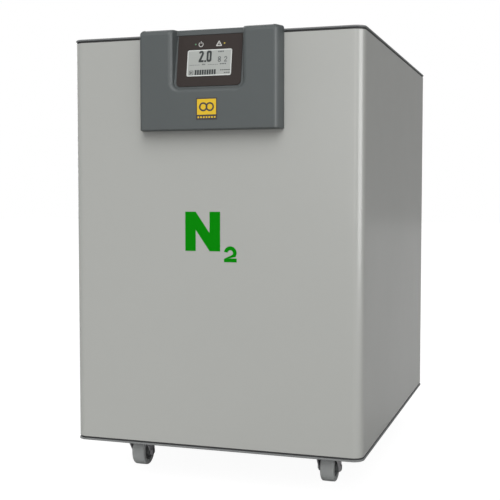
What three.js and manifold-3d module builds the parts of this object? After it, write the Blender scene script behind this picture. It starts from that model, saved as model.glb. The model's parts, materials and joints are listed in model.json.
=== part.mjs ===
// A floor-standing laboratory nitrogen generator: a sheet-metal cabinet on four swivel castors, with a
// display console hooked on its front edge, gas, drain and mains connections at the back, and an
// oil-free compressor, a cooler, two adsorption columns and a buffer tank inside.
// Millimetres, +Z up. The front faces -Y. The origin is on the floor under the cabinet's middle.

import * as THREE from 'three';
import { mergeVertices } from 'three/addons/utils/BufferGeometryUtils.js';
import Module from 'manifold-3d';

const wasm = await Module();
wasm.setup();

// ---------------------------------------------------------------- driving dimensions

const WIDTH = 500;
const DEPTH = 676;
const BODY_BOTTOM = 66;
const BODY_TOP = 750;
const CORNER_RADIUS = 17.4;
const SHEET = 1.5;
const EDGE_PROUD = 1;
const EDGE_THICKNESS = 3.2;
const SEAL_THICKNESS = 2.2;
const GAP = 0.3;

const CONSOLE = {
  bottom: 593, top: 755, frontTop: 751, proud: 24.6, backHalf: 122, frontHalf: 113, wall: 2.5,
  recessHalf: 57.5, recessCorner: 9,
};
const MEMBRANE = { width: 110, height: 84.2, thickness: 1.2, corner: 7, lowProud: 18, highProud: 5, lowZ: 662.6 };
const LCD = { width: 76.5, height: 43.9, drop: 3.95, bodyMargin: 1.6, depth: 5, corner: 3 };
const BADGE = { width: 36, height: 35, z: 625.5, thickness: 1.2, proud: 0.4 };

const CASTOR = {
  x: 173.5, y: 254, trail: 25, wheelRadius: 25, wheelWidth: 18, wheelSegments: 24,
  forkHalf: 18.5, legThickness: 2, legEye: 8, crown: [57.8, 63.6], crownRadius: 19, plate: [60, 52, 2.5],
  race: [18, 2.7], kingpin: 4, nut: [6.5, 54, 57.4], axle: 3.9, axleHead: [6, 1.5], bore: 4.4, hub: [9, 15.5],
};

const SLOTS = { columns: [-40, 40], rows: 7, bottom: 100, pitch: 13, width: 62, height: 5, corner: 2.4 };
const CABLE_PASS = { z: 622, width: 60, height: 26, corner: 6 };
const FAN = { x: -120, z: 300, size: 120, depth: 25, hole: 57, rotor: 53.5, hub: 20, blades: 7 };
const POWER_ENTRY = {
  x: 165, z: 170, width: 52, height: 66, flange: 2.5, bodyWidth: 46, bodyHeight: 60, bodyDepth: 32,
  socketZ: -14, socketDepth: 14, switchZ: 17, switchHalf: [10.9, 7.4], switchDepth: 16,
};
const ROCKER = { halfWidth: 10, halfHeight: 6.9, tilt: 7, depth: 5, middle: 2.2 };
const GAS_OUTLET = { x: 145, z: 640, proud: 25, inside: 20, hexagon: 13, radius: 9.5, bore: 4.2, hole: 8 };
const DRAIN = { x: -190, z: 112, proud: 16, inside: 16, hexagon: 11, radius: 8, bore: 3.3, hole: 6.5 };

const COMPRESSOR = { y: -60, axisZ: 180, barrel: 60, barrelHalf: 70, caseHalf: 140, shaft: 7, fan: 62 };
const POST = { insetX: 14, insetY: 19, leg: 24, wall: 2 };
const SHELF_Z = 380;
const SHELF_SHEET = 2;
const COLUMNS = { y: 105, xs: [-75, 20], radius: 42, tankX: 145, tankRadius: 60, bottom: 412.3, top: 670 };

// ---------------------------------------------------------------- worked out from them

const FRONT = -DEPTH / 2;
const REAR = DEPTH / 2;
const PAN_BOTTOM = BODY_BOTTOM + EDGE_THICKNESS + GAP;
const PAN_TOP = PAN_BOTTOM + SEAL_THICKNESS;
const PANEL_BOTTOM = PAN_TOP + GAP;
const LID_BOTTOM = BODY_TOP - EDGE_THICKNESS;
const SEAL_TOP = LID_BOTTOM - GAP;
const SEAL_BOTTOM = SEAL_TOP - SEAL_THICKNESS;
const PANEL_TOP = SEAL_BOTTOM - GAP;
const WHEEL_CENTRE_Z = CASTOR.wheelRadius * Math.cos(Math.PI / CASTOR.wheelSegments);
const CASTOR_TOP = PAN_BOTTOM - GAP;
const MEMBRANE_TILT = Math.asin((MEMBRANE.lowProud - MEMBRANE.highProud) / MEMBRANE.height);

// ---------------------------------------------------------------- materials

const finish = (color, roughness, metalness) => new THREE.MeshStandardMaterial({ color, roughness, metalness });
const FINISH = {
  panel: finish(0xa9aaa6, 0.45, 0.1),
  edge: finish(0x74787a, 0.5, 0.2),
  seal: finish(0x2b2d2e, 0.8, 0),
  console: finish(0x585e5f, 0.55, 0),
  membrane: finish(0x413936, 0.4, 0),
  lcd: finish(0xc3c8c3, 0.2, 0),
  badge: finish(0xf2c400, 0.4, 0),
  board: finish(0x1f5a3a, 0.6, 0),
  castorSteel: finish(0x8d8c93, 0.35, 0.8),
  castorTyre: finish(0x75787a, 0.6, 0),
  blackPlastic: finish(0x1b1b1c, 0.5, 0),
  brass: finish(0xb9985a, 0.35, 0.9),
  zinc: finish(0xa7abad, 0.4, 0.8),
  aluminium: finish(0xb9bcbe, 0.4, 0.8),
  copper: finish(0xb87347, 0.35, 0.9),
  rubber: finish(0x222222, 0.9, 0),
  tank: finish(0x3c4a56, 0.5, 0.2),
  tube: finish(0x2f6fb5, 0.5, 0),
};

// ---------------------------------------------------------------- shape helpers, each giving a closed geometry

const box = (x0, x1, y0, y1, z0, z1) => new THREE.BoxGeometry(x1 - x0, y1 - y0, z1 - z0)
  .translate((x0 + x1) / 2, (y0 + y1) / 2, (z0 + z1) / 2);

// A flat outline in X and Y, carried up from z0 to z1. A quarter circle takes curveSegments * 2 facets.
const prism = (shape, z0, z1, curveSegments = 4) => new THREE.ExtrudeGeometry(
  shape, { depth: z1 - z0, bevelEnabled: false, curveSegments }).translate(0, 0, z0);

// An outline drawn in Y and Z, carried along X from x0 to x1.
function prismAlongX(shape, x0, x1, curveSegments = 4) {
  const axes = new THREE.Matrix4().makeBasis(
    new THREE.Vector3(0, 1, 0), new THREE.Vector3(0, 0, 1), new THREE.Vector3(1, 0, 0));
  return prism(shape, x0, x1, curveSegments).applyMatrix4(axes);
}

// An outline drawn in X and Z, carried along Y from y0 to y1.
const prismAlongY = (shape, y0, y1, curveSegments = 4) => prism(shape, -y1, -y0, curveSegments)
  .rotateX(Math.PI / 2);

const polygon = (points) => new THREE.Shape(points.map(([x, y]) => new THREE.Vector2(x, y)));

function roundedRectangle(width, height, radius, centreX = 0, centreY = 0) {
  const [x, y] = [width / 2, height / 2];
  const shape = new THREE.Shape();
  shape.absarc(centreX + x - radius, centreY + y - radius, radius, 0, Math.PI / 2);
  shape.absarc(centreX - x + radius, centreY + y - radius, radius, Math.PI / 2, Math.PI);
  shape.absarc(centreX - x + radius, centreY - y + radius, radius, Math.PI, 1.5 * Math.PI);
  shape.absarc(centreX + x - radius, centreY - y + radius, radius, 1.5 * Math.PI, 2 * Math.PI);
  shape.closePath();
  return shape;
}

// A round bar along Z, Y or X.
const rodZ = (radius, z0, z1, segments = 16) => new THREE.CylinderGeometry(radius, radius, z1 - z0, segments)
  .rotateX(Math.PI / 2).translate(0, 0, (z0 + z1) / 2);
const rodY = (radius, y0, y1, segments = 16) => new THREE.CylinderGeometry(radius, radius, y1 - y0, segments)
  .translate(0, (y0 + y1) / 2, 0);
const rodX = (radius, x0, x1, segments = 16) => rodZ(radius, x0, x1, segments).rotateY(Math.PI / 2);

// A turned shape about Z, from [radius, height] points that start and end on the axis or close on themselves.
function turnedZ(points, segments = 24, start = 0) {
  const profile = points.map(([r, z]) => new THREE.Vector2(r, z));
  return new THREE.LatheGeometry(profile, segments, start).rotateX(Math.PI / 2);
}
const turnedX = (points, segments, start) => turnedZ(points, segments, start).rotateY(Math.PI / 2);

// A round pipe along a curve.
function pipe(points, radius, steps, sides = 8) {
  const section = new THREE.Shape().absarc(0, 0, radius, 0, 2 * Math.PI);
  const curve = new THREE.CatmullRomCurve3(points.map((p) => new THREE.Vector3(...p)), false, 'catmullrom', 0.3);
  return new THREE.ExtrudeGeometry(section, { steps, curveSegments: sides / 2, extrudePath: curve });
}

// ---------------------------------------------------------------- joining and cutting

function toSolid(geometry) {
  const bare = geometry.clone();
  bare.deleteAttribute('normal');
  bare.deleteAttribute('uv');
  const merged = mergeVertices(bare, 1e-4);
  return new wasm.Manifold(new wasm.Mesh({
    numProp: 3,
    vertProperties: Float32Array.from(merged.attributes.position.array),
    triVerts: Uint32Array.from(merged.index.array),
  }));
}

function toGeometry(solid) {
  const { vertProperties, triVerts } = solid.getMesh();
  const geometry = new THREE.BufferGeometry();
  geometry.setAttribute('position', new THREE.BufferAttribute(Float32Array.from(vertProperties), 3));
  geometry.setIndex(new THREE.BufferAttribute(Uint32Array.from(triVerts), 1));
  return geometry;
}

const join = (...parts) => toGeometry(parts.map(toSolid).reduce((a, b) => a.add(b)));
const cut = (part, ...tools) => toGeometry(tools.map(toSolid).reduce((a, b) => a.subtract(b), toSolid(part)));
const overlap = (a, b) => toGeometry(toSolid(a).intersect(toSolid(b)));

function piece(name, geometry, material) {
  const mesh = new THREE.Mesh(geometry, material);
  mesh.name = name;
  return mesh;
}

function group(children, position = [0, 0, 0]) {
  const result = new THREE.Group();
  result.add(...children);
  result.position.set(...position);
  return result;
}

// ---------------------------------------------------------------- cabinet shell

// The outline of the cabinet in plan, grown by some amount all round.
const planOutline = (grow) => roundedRectangle(
  WIDTH + 2 * grow, DEPTH + 2 * grow, CORNER_RADIUS + grow);

// A closed band that follows the cabinet's plan outline.
const band = (grow, width, z0, z1) => cut(
  prism(planOutline(grow), z0, z1), prism(planOutline(grow - width), z0 - 1, z1 + 1));

// A flat front or rear sheet with its upright edges rolled round the corners.
function endSheet(side) {
  const length = CORNER_RADIUS;
  const shell = band(0, SHEET, PANEL_BOTTOM, PANEL_TOP);
  const y = side * (REAR - length / 2 + 1);
  return overlap(shell, box(-WIDTH, WIDTH, y - length / 2 - 1, y + length / 2 + 1, 0, BODY_TOP));
}

// A side sheet with an inward return along each upright edge.
function sideSheet(side) {
  const reach = REAR - CORNER_RADIUS - GAP;
  const returnWidth = 12;
  const [x, inner, returned] = [WIDTH / 2, WIDTH / 2 - SHEET, WIDTH / 2 - returnWidth];
  const outline = polygon([
    [x, -reach], [x, reach], [returned, reach], [returned, reach - SHEET], [inner, reach - SHEET],
    [inner, -reach + SHEET], [returned, -reach + SHEET], [returned, -reach],
  ]);
  const sheet = prism(outline, PANEL_BOTTOM, PANEL_TOP);
  return side > 0 ? sheet : sheet.rotateZ(Math.PI);
}

function rearSheet() {
  const slots = [];
  for (const column of SLOTS.columns) {
    for (let row = 0; row < SLOTS.rows; row += 1) {
      const z = SLOTS.bottom + SLOTS.pitch * row;
      const slot = roundedRectangle(SLOTS.width, SLOTS.height, SLOTS.corner, column, z);
      slots.push(prismAlongY(slot, REAR - 20, REAR + 5, 1));
    }
  }
  const { bodyWidth, bodyHeight } = POWER_ENTRY;
  const entry = roundedRectangle(bodyWidth + 2 * GAP, bodyHeight + 2 * GAP, 2, POWER_ENTRY.x, POWER_ENTRY.z);
  return cut(
    endSheet(1),
    rodY(FAN.hole, REAR - 20, REAR + 5, 28).translate(FAN.x, 0, FAN.z),
    prismAlongY(entry, REAR - 20, REAR + 5, 1),
    ...[GAS_OUTLET, DRAIN].map(({ x, z, hole }) => rodY(hole, REAR - 20, REAR + 5).translate(x, 0, z)),
    ...slots);
}

// An upright L-section post in one corner of the cabinet. Turning a corner's post half a turn about Z gives
// the post of the opposite corner.
function cornerPost(sideX, sideY) {
  const { insetX, insetY, leg, wall } = POST;
  const [x, y] = [sideX * sideY * (WIDTH / 2 - insetX), REAR - insetY];
  const inwards = -Math.sign(x);
  const bar = (reachX, reachY) => box(
    Math.min(x, x + inwards * reachX), Math.max(x, x + inwards * reachX), y - reachY, y, PANEL_BOTTOM, PANEL_TOP);
  const angle = join(bar(leg, wall), bar(wall, leg));
  return sideY > 0 ? angle : angle.rotateZ(Math.PI);
}

// A shelf tray whose turned-down edges stiffen it and screw to the inner faces of the four posts.
function shelf() {
  const lip = 16;
  const x = WIDTH / 2 - POST.insetX - POST.wall - GAP;
  const y = REAR - POST.insetY - POST.wall - GAP;
  return cut(
    box(-x, x, -y, y, SHELF_Z - lip, SHELF_Z + SHELF_SHEET),
    box(-x + SHELF_SHEET, x - SHELF_SHEET, -y + SHELF_SHEET, y - SHELF_SHEET, SHELF_Z - lip - 1, SHELF_Z));
}

function cabinet() {
  const opening = roundedRectangle(CABLE_PASS.width, CABLE_PASS.height, CABLE_PASS.corner, 0, CABLE_PASS.z);
  const cablePass = prismAlongY(opening, FRONT - 5, FRONT + 10, 3);
  return [
    piece('base_trim', band(EDGE_PROUD, 17, BODY_BOTTOM, BODY_BOTTOM + EDGE_THICKNESS), FINISH.edge),
    piece('base_pan', prism(planOutline(-0.6), PAN_BOTTOM, PAN_TOP), FINISH.seal),
    piece('front_panel', cut(endSheet(-1), cablePass), FINISH.panel),
    piece('rear_panel', rearSheet(), FINISH.panel),
    piece('left_side_panel', sideSheet(-1), FINISH.panel),
    piece('right_side_panel', sideSheet(1), FINISH.panel),
    piece('top_gasket', band(-0.6, 13, SEAL_BOTTOM, SEAL_TOP), FINISH.seal),
    piece('top_lid', prism(planOutline(EDGE_PROUD), LID_BOTTOM, BODY_TOP), FINISH.edge),
    piece('front_left_post', cornerPost(-1, -1), FINISH.zinc),
    piece('front_right_post', cornerPost(1, -1), FINISH.zinc),
    piece('rear_left_post', cornerPost(-1, 1), FINISH.zinc),
    piece('rear_right_post', cornerPost(1, 1), FINISH.zinc),
    piece('mid_shelf', shelf(), FINISH.zinc),
  ];
}

// ---------------------------------------------------------------- display console

// Moves a shape from the display's own frame, whose origin is the middle of the membrane's face, to its
// tilted place on the cabinet.
function tiltIntoPlace(geometry) {
  const proud = (MEMBRANE.lowProud + MEMBRANE.highProud) / 2;
  const z = MEMBRANE.lowZ + (MEMBRANE.height / 2) * Math.cos(MEMBRANE_TILT);
  return geometry.rotateX(-MEMBRANE_TILT).translate(0, FRONT - proud, z);
}

const membraneOutline = (grow) => {
  const [x, y, r] = [MEMBRANE.width / 2 + grow, MEMBRANE.height / 2 + grow, MEMBRANE.corner];
  const shape = new THREE.Shape();
  shape.moveTo(x, y);
  shape.lineTo(-x, y);
  shape.absarc(-x + r, -y + r, r, Math.PI, 1.5 * Math.PI);
  shape.absarc(x - r, -y + r, r, 1.5 * Math.PI, 2 * Math.PI);
  shape.closePath();
  return shape;
};

const lcdOutline = (grow) => roundedRectangle(
  LCD.width + 2 * grow, LCD.height + 2 * grow, LCD.corner + grow, 0, -LCD.drop);

// The open-topped recess that the membrane lies in: everything in front of the membrane's back face.
function recessTool() {
  const { recessHalf, recessCorner } = CONSOLE;
  const bottom = -MEMBRANE.height / 2 - 2.5;
  const mouth = new THREE.Shape();
  mouth.moveTo(recessHalf, 70);
  mouth.lineTo(-recessHalf, 70);
  mouth.absarc(-recessHalf + recessCorner, bottom + recessCorner, recessCorner, Math.PI, 1.5 * Math.PI);
  mouth.absarc(recessHalf - recessCorner, bottom + recessCorner, recessCorner, 1.5 * Math.PI, 2 * Math.PI);
  mouth.closePath();
  const floor = MEMBRANE.thickness + GAP;
  const slope = tiltIntoPlace(prismAlongY(mouth, -40, floor, 5));
  const barTop = FRONT - MEMBRANE.highProud;
  const topBar = box(-recessHalf - 1, recessHalf + 1, barTop, barTop + 10, MEMBRANE.lowZ + MEMBRANE.height - 0.5, 800);
  return cut(slope, topBar);
}

// The hollow behind the console's front wall, in three steps that follow the recess.
function consoleHollow() {
  const { bottom, proud, wall, frontHalf, recessHalf } = CONSOLE;
  const back = FRONT + 1;
  const deep = FRONT - proud + wall;
  const top = PANEL_TOP - 4;
  const inner = frontHalf - wall;
  const wedge = polygon([
    [back, bottom + wall + 5], [FRONT - 12, bottom + wall + 5], [FRONT - 12, 660], [FRONT - 3.5, 714], [back, 714],
  ]);
  return join(
    box(-inner, inner, deep, back, bottom + wall, MEMBRANE.lowZ - 9),
    box(-inner, -recessHalf - wall, deep, back, bottom + wall, top),
    box(recessHalf + wall, inner, deep, back, bottom + wall, top),
    prismAlongX(wedge, -recessHalf - wall - 1, recessHalf + wall + 1));
}

function consoleHousing() {
  const { bottom, top, frontTop, proud, backHalf, frontHalf } = CONSOLE;
  const face = FRONT - proud;
  const back = FRONT - GAP;
  const plan = new THREE.Shape();
  plan.moveTo(backHalf, back);
  plan.lineTo(-backHalf, back);
  plan.lineTo(-backHalf, back - 4);
  plan.quadraticCurveTo(-backHalf + 2, face, -frontHalf, face);
  plan.lineTo(frontHalf, face);
  plan.quadraticCurveTo(backHalf - 2, face, backHalf, back - 4);
  plan.closePath();
  const topEdge = polygon([[face - 1, frontTop - 1], [face + 8, top], [face + 8, top + 5], [face - 1, top + 5]]);
  const bottomEdge = polygon([[face - 1, bottom - 1], [face + 4, bottom - 1], [face - 1, bottom + 4]]);
  const badgePocket = box(
    -BADGE.width / 2 - GAP, BADGE.width / 2 + GAP, face - 1, face + BADGE.thickness - BADGE.proud + GAP,
    BADGE.z - BADGE.height / 2 - GAP, BADGE.z + BADGE.height / 2 + GAP);
  return cut(
    prism(plan, bottom, top, 5),
    prismAlongX(topEdge, -140, 140),
    prismAlongX(bottomEdge, -140, 140),
    recessTool(),
    consoleHollow(),
    box(-140, 140, FRONT - EDGE_PROUD - GAP, FRONT + 5, SEAL_BOTTOM - 2, top + 5),
    tiltIntoPlace(prismAlongY(lcdOutline(LCD.bodyMargin + GAP), -1, 12, 3)),
    badgePocket);
}

function lcdModule() {
  const bodyFront = MEMBRANE.thickness + GAP;
  return tiltIntoPlace(join(
    prismAlongY(lcdOutline(-GAP), GAP, bodyFront + 1, 3),
    prismAlongY(lcdOutline(LCD.bodyMargin), bodyFront, bodyFront + LCD.depth, 3)));
}

function controlBoard() {
  const y = FRONT - 8;
  const pillars = [-88, 88].flatMap((x) => [606, 642].map((z) => rodY(3, y + 1, FRONT - GAP, 8).translate(x, 0, z)));
  return join(
    box(-96, 96, y, y + 1.6, 600, 648), ...pillars,
    box(-80, -56, y - 9, y + 0.5, 606, 618),
    box(-30, -6, y - 4, y + 0.5, 622, 640),
    box(30, 42, y - 11, y + 0.5, 608, 640),
    box(60, 84, y - 6, y + 0.5, 606, 624));
}

function displayConsole() {
  const window = prismAlongY(lcdOutline(0), -5, 5, 3);
  const membrane = prismAlongY(membraneOutline(0), 0, MEMBRANE.thickness, 4);
  const badgeFace = FRONT - CONSOLE.proud - BADGE.proud;
  return [
    piece('console_housing', consoleHousing(), FINISH.console),
    piece('membrane_panel', tiltIntoPlace(cut(membrane, window)), FINISH.membrane),
    piece('lcd_module', lcdModule(), FINISH.lcd),
    piece('badge_plate', box(
      -BADGE.width / 2, BADGE.width / 2, badgeFace, badgeFace + BADGE.thickness,
      BADGE.z - BADGE.height / 2, BADGE.z + BADGE.height / 2), FINISH.badge),
    piece('control_board', controlBoard(), FINISH.board),
  ];
}

// ---------------------------------------------------------------- swivel castors

function castorPlate() {
  const [width, length, thickness] = CASTOR.plate;
  const [[raceRadius, raceHeight], [nutRadius, nutBottom, nutTop]] = [CASTOR.race, CASTOR.nut];
  const under = CASTOR_TOP - thickness;
  return join(
    prism(roundedRectangle(width, length, 6), under, CASTOR_TOP, 1),
    rodZ(raceRadius, under - raceHeight, under + 1, 16),
    rodZ(CASTOR.kingpin, nutBottom + 1, under, 12),
    rodZ(nutRadius, nutBottom, nutTop, 6));
}

// A pressed fork: a round crown and two legs that taper down and back to the axle.
function castorFork() {
  const { trail, forkHalf, legThickness, crownRadius, legEye: eye, crown: [crownBottom, crownTop] } = CASTOR;
  const leg = new THREE.Shape();
  leg.moveTo(trail + eye, crownTop);
  leg.lineTo(-12, crownTop);
  leg.lineTo(-12, 60);
  leg.lineTo(trail - eye, WHEEL_CENTRE_Z);
  leg.absarc(trail, WHEEL_CENTRE_Z, eye, Math.PI, 2 * Math.PI);
  leg.closePath();
  const body = join(
    rodZ(crownRadius, crownBottom, crownTop, 16),
    box(-forkHalf, forkHalf, -12, trail + eye, crownBottom + 2, crownTop),
    prismAlongX(leg, forkHalf - legThickness, forkHalf, 3),
    prismAlongX(leg, -forkHalf, -forkHalf + legThickness, 3));
  return cut(
    body,
    rodZ(4.5, crownBottom - 5, crownTop + 5, 12),
    rodX(4.3, -40, 40, 12).translate(0, trail, WHEEL_CENTRE_Z));
}

function castorAxle() {
  const [headRadius, headHeight] = CASTOR.axleHead;
  const inner = CASTOR.forkHalf + GAP;
  const outer = inner + headHeight;
  return join(
    rodX(CASTOR.axle, -outer, outer, 12), rodX(headRadius, inner, outer, 6), rodX(headRadius, -outer, -inner, 6))
    .translate(0, CASTOR.trail, WHEEL_CENTRE_Z);
}

function castorWheel() {
  const { wheelRadius, wheelWidth, wheelSegments, trail } = CASTOR;
  const [half, rim, web] = [wheelWidth / 2, 20, 4];
  const { bore, hub: [hub, hubHalf] } = CASTOR;
  const profile = [
    [bore, -hubHalf], [hub, -hubHalf], [hub, -web], [rim, -half], [wheelRadius - 2.5, -half],
    [wheelRadius, -half + 2.5], [wheelRadius, half - 2.5], [wheelRadius - 2.5, half], [rim, half],
    [hub, web], [hub, hubHalf], [bore, hubHalf], [bore, -hubHalf],
  ];
  return turnedX(profile, wheelSegments, Math.PI / wheelSegments).translate(0, trail, WHEEL_CENTRE_Z);
}

function castors() {
  const places = [
    ['front_left', -1, -1], ['front_right', 1, -1], ['rear_left', -1, 1], ['rear_right', 1, 1],
  ];
  return places.map(([corner, sideX, sideY]) => group([
    piece(`${corner}_castor_plate`, castorPlate(), FINISH.castorSteel),
    piece(`${corner}_castor_fork`, castorFork(), FINISH.castorSteel),
    piece(`${corner}_castor_axle`, castorAxle(), FINISH.zinc),
    piece(`${corner}_castor_wheel`, castorWheel(), FINISH.castorTyre),
  ], [sideX * CASTOR.x, sideY * CASTOR.y, 0]));
}

// ---------------------------------------------------------------- rear connections and fan

function powerEntry() {
  const { width, height, flange, bodyWidth, bodyHeight, bodyDepth } = POWER_ENTRY;
  const { socketZ, socketDepth, switchZ, switchHalf: [halfWidth, halfHeight], switchDepth } = POWER_ENTRY;
  const body = join(
    prismAlongY(roundedRectangle(width, height, 3), REAR + GAP, REAR + GAP + flange, 1),
    prismAlongY(roundedRectangle(bodyWidth, bodyHeight, 2), REAR - bodyDepth, REAR + 1, 1));
  const socket = polygon([[-12.4, -9.2], [12.4, -9.2], [12.4, 3.2], [8.4, 7.2], [-8.4, 7.2], [-12.4, 3.2]]);
  return cut(
    body,
    prismAlongY(socket, REAR - socketDepth, REAR + 5).translate(0, 0, socketZ),
    box(-halfWidth, halfWidth, REAR - switchDepth, REAR + 5, switchZ - halfHeight, switchZ + halfHeight));
}

// A rocker whose two faces meet at a shallow angle, so that one of them lies flush at each end of its travel.
function rocker() {
  const { halfWidth, halfHeight, depth, middle } = ROCKER;
  const tilt = THREE.MathUtils.degToRad(ROCKER.tilt);
  const end = middle + halfWidth * Math.tan(tilt);
  const outline = polygon([[-halfWidth, -depth], [halfWidth, -depth], [halfWidth, end], [0, middle], [-halfWidth, end]]);
  return prism(outline, -halfHeight, halfHeight).rotateZ(tilt).translate(0, REAR, POWER_ENTRY.switchZ);
}

// A bulkhead fitting with a hexagon outside, a nut inside and a blind bore for the user's tube.
function bulkhead({ radius, hexagon, bore, proud, inside }) {
  return cut(
    join(
      rodY(hexagon, REAR + GAP, REAR + 8, 6),
      rodY(radius, REAR + 6, REAR + proud, 16),
      rodY(radius - 2, REAR - inside, REAR + 7, 16),
      rodY(hexagon, REAR - SHEET - GAP - 5, REAR - SHEET - GAP, 6)),
    rodY(bore, REAR - 8, REAR + proud + 5, 16));
}

function fanFrame() {
  const { size, depth, hole, hub } = FAN;
  const [back, front] = [REAR - SHEET - GAP, REAR - SHEET - GAP - depth];
  const strut = (angle) => box(hub - 2, hole + 1, front, front + 3, -2, 2).rotateY(angle);
  const corners = [-1, 1].flatMap((x) => [-1, 1].map((z) => rodY(2.2, front - 2, back + 2, 6)
    .translate(x * 52.5, 0, z * 52.5)));
  return join(
    cut(prismAlongY(roundedRectangle(size, size, 6), front, back, 1), rodY(hole, front - 2, back + 2, 28), ...corners),
    rodY(hub, front, front + 4, 16),
    strut(0.4), strut(0.4 + 2 * Math.PI / 3), strut(0.4 + 4 * Math.PI / 3));
}

// A hub with pitched blades about Y.
function fanWheel(hub, tip, blades, y0, y1) {
  const middle = (y0 + y1) / 2;
  const chord = (y1 - y0 - 3) / 2;
  const blade = (index) => box(hub - 3, tip, -chord * 1.05, chord * 1.05, -0.8, 0.8)
    .rotateX(THREE.MathUtils.degToRad(42))
    .translate(0, middle, 0)
    .rotateY((index * 2 * Math.PI) / blades);
  return join(rodY(hub, y0, y1, 16), ...Array.from({ length: blades }, (_, index) => blade(index)));
}

function fanGuard() {
  const [y0, y1, wire] = [REAR + 2.4, REAR + 4.4, 2];
  const ring = (radius) => cut(rodY(radius + wire / 2, y0, y1, 20), rodY(radius - wire / 2, y0 - 1, y1 + 1, 20));
  const spoke = (angle) => box(-74.2, 74.2, y0 - 1.6, y0 + 0.6, -1, 1).rotateY(angle);
  const eyes = [-1, 1].flatMap((x) => [-1, 1].map((z) => rodY(5, REAR + GAP, y1, 8)
    .translate(x * 52.5, 0, z * 52.5)));
  return join(spoke(Math.PI / 4), spoke(-Math.PI / 4), ring(57), ring(40), ring(23), ...eyes);
}

function rearConnections() {
  const fanFront = REAR - SHEET - GAP - FAN.depth;
  return [
    group([
      piece('power_entry', powerEntry(), FINISH.blackPlastic),
      piece('switch_rocker', rocker(), FINISH.blackPlastic),
    ], [POWER_ENTRY.x, 0, POWER_ENTRY.z]),
    group([piece('gas_outlet_fitting', bulkhead(GAS_OUTLET), FINISH.brass)], [GAS_OUTLET.x, 0, GAS_OUTLET.z]),
    group([piece('drain_fitting', bulkhead(DRAIN), FINISH.brass)], [DRAIN.x, 0, DRAIN.z]),
    group([
      piece('fan_frame', fanFrame(), FINISH.blackPlastic),
      piece('fan_rotor', fanWheel(FAN.hub, FAN.rotor, FAN.blades, fanFront + 4.4, fanFront + FAN.depth - 1),
        FINISH.blackPlastic),
      piece('fan_guard', fanGuard(), FINISH.zinc),
    ], [FAN.x, 0, FAN.z]),
  ];
}

// ---------------------------------------------------------------- compressor

function compressorBody() {
  const { axisZ, barrel, barrelHalf, caseHalf, shaft } = COMPRESSOR;
  const foot = PAN_TOP + 25;
  const crankcase = (side) => box(
    side > 0 ? barrelHalf - 4 : -caseHalf, side > 0 ? caseHalf : -barrelHalf + 4, -55, 55, foot, axisZ + 52);
  const fins = [-36, 0, 36].map((x) => rodX(barrel + 5, x - 3, x + 3, 16).translate(0, 0, axisZ));
  return cut(
    join(rodX(barrel, -barrelHalf, barrelHalf, 16).translate(0, 0, axisZ), crankcase(-1), crankcase(1), ...fins,
      box(-150, -100, -95, 95, foot, foot + 6), box(100, 150, -95, 95, foot, foot + 6)),
    rodX(shaft + 0.6, -caseHalf - 5, caseHalf + 5, 12).translate(0, 0, axisZ));
}

// One finned cylinder with its square head.
function cylinder(side) {
  const bottom = COMPRESSOR.axisZ + 52 + GAP;
  const fins = [12, 28, 44].map((rise) => rodZ(38, bottom + rise, bottom + rise + 5, 16));
  return join(
    rodZ(31, bottom, bottom + 62, 16), ...fins,
    prism(roundedRectangle(78, 78, 8), bottom + 60, bottom + 86, 1)).translate(side * 105, 0, 0);
}

function compressor() {
  const { y, axisZ, shaft, caseHalf, fan } = COMPRESSOR;
  const isolator = () => turnedZ([[0, 0], [14, 0], [14, 4], [10, 12], [14, 20], [14, 24.6], [0, 24.6]], 12)
    .translate(0, 0, PAN_TOP + GAP / 2);
  const feet = [['front_left', -1, -1], ['front_right', 1, -1], ['rear_left', -1, 1], ['rear_right', 1, 1]];
  const wheel = cut(
    fanWheel(22, fan, 6, -14, 14), rodY(shaft + GAP, -20, 20, 16)).rotateZ(-Math.PI / 2);
  return group([
    piece('compressor_body', compressorBody(), FINISH.aluminium),
    piece('left_cylinder', cylinder(-1), FINISH.aluminium),
    piece('right_cylinder', cylinder(1), FINISH.aluminium),
    piece('compressor_shaft', rodX(shaft, -caseHalf - 34, caseHalf + 8, 12).translate(0, 0, axisZ), FINISH.zinc),
    piece('compressor_fan', wheel.translate(-caseHalf - 18, 0, axisZ), FINISH.blackPlastic),
    ...feet.map(([corner, sideX, sideY]) => group(
      [piece(`${corner}_isolator`, isolator(), FINISH.rubber)], [sideX * 125, sideY * 78, 0])),
  ], [0, y, 0]);
}

// ---------------------------------------------------------------- gas train and electrics

// Copper pipe from the right cylinder head, in flat bends behind the fan, to the water separator.
function aftercooler() {
  const [y, left, right] = [288, -172, -68];
  const points = [
    [105, -80, 318.6], [105, -80, 345], [105, -20, 352], [60, 150, 350], [0, 250, 350], [right + 24, y, 346]];
  for (let row = 0; row < 4; row += 1) {
    const z = 346 - 26 * row;
    const ends = row % 2 === 0 ? [right, left] : [left, right];
    points.push([ends[0], y, z], [(left + right) / 2, y, z], [ends[1], y, z]);
    points.push([ends[1] + (row % 2 === 0 ? -12 : 12), y, z - 13]);
  }
  points.push([-40, y, 246], [-5, y, 280], [-2, 280, 340], [14, 270, 354], [31.6, 270, 354]);
  return pipe(points, 4, 100, 6);
}

// Head, bowl and drain stub of the water separator, hung under the shelf.
const waterSeparator = () => join(
  box(-28, 28, -28, 28, 330, SHELF_Z - 17 + 16),
  turnedZ([[0, 215], [8, 215], [8, 225], [24, 240], [27, 260], [27, 331], [0, 331]], 12));

// The lower manifold with its bank of solenoid valves.
function valveManifold() {
  const [left, right] = [COLUMNS.xs[0] - 45, COLUMNS.xs[1] + 45];
  const base = SHELF_Z + 2 + GAP;
  const coils = [left + 18, left + 54, left + 90, left + 126, left + 162].map((x) => join(
    box(x - 13, x + 13, 20, 60, base + 4, base + 26),
    rodZ(9, base + 20, base + 60, 8).translate(x, 40, 0)));
  return join(box(left, right, 58, 152, base, COLUMNS.bottom - GAP), ...coils);
}

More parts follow.
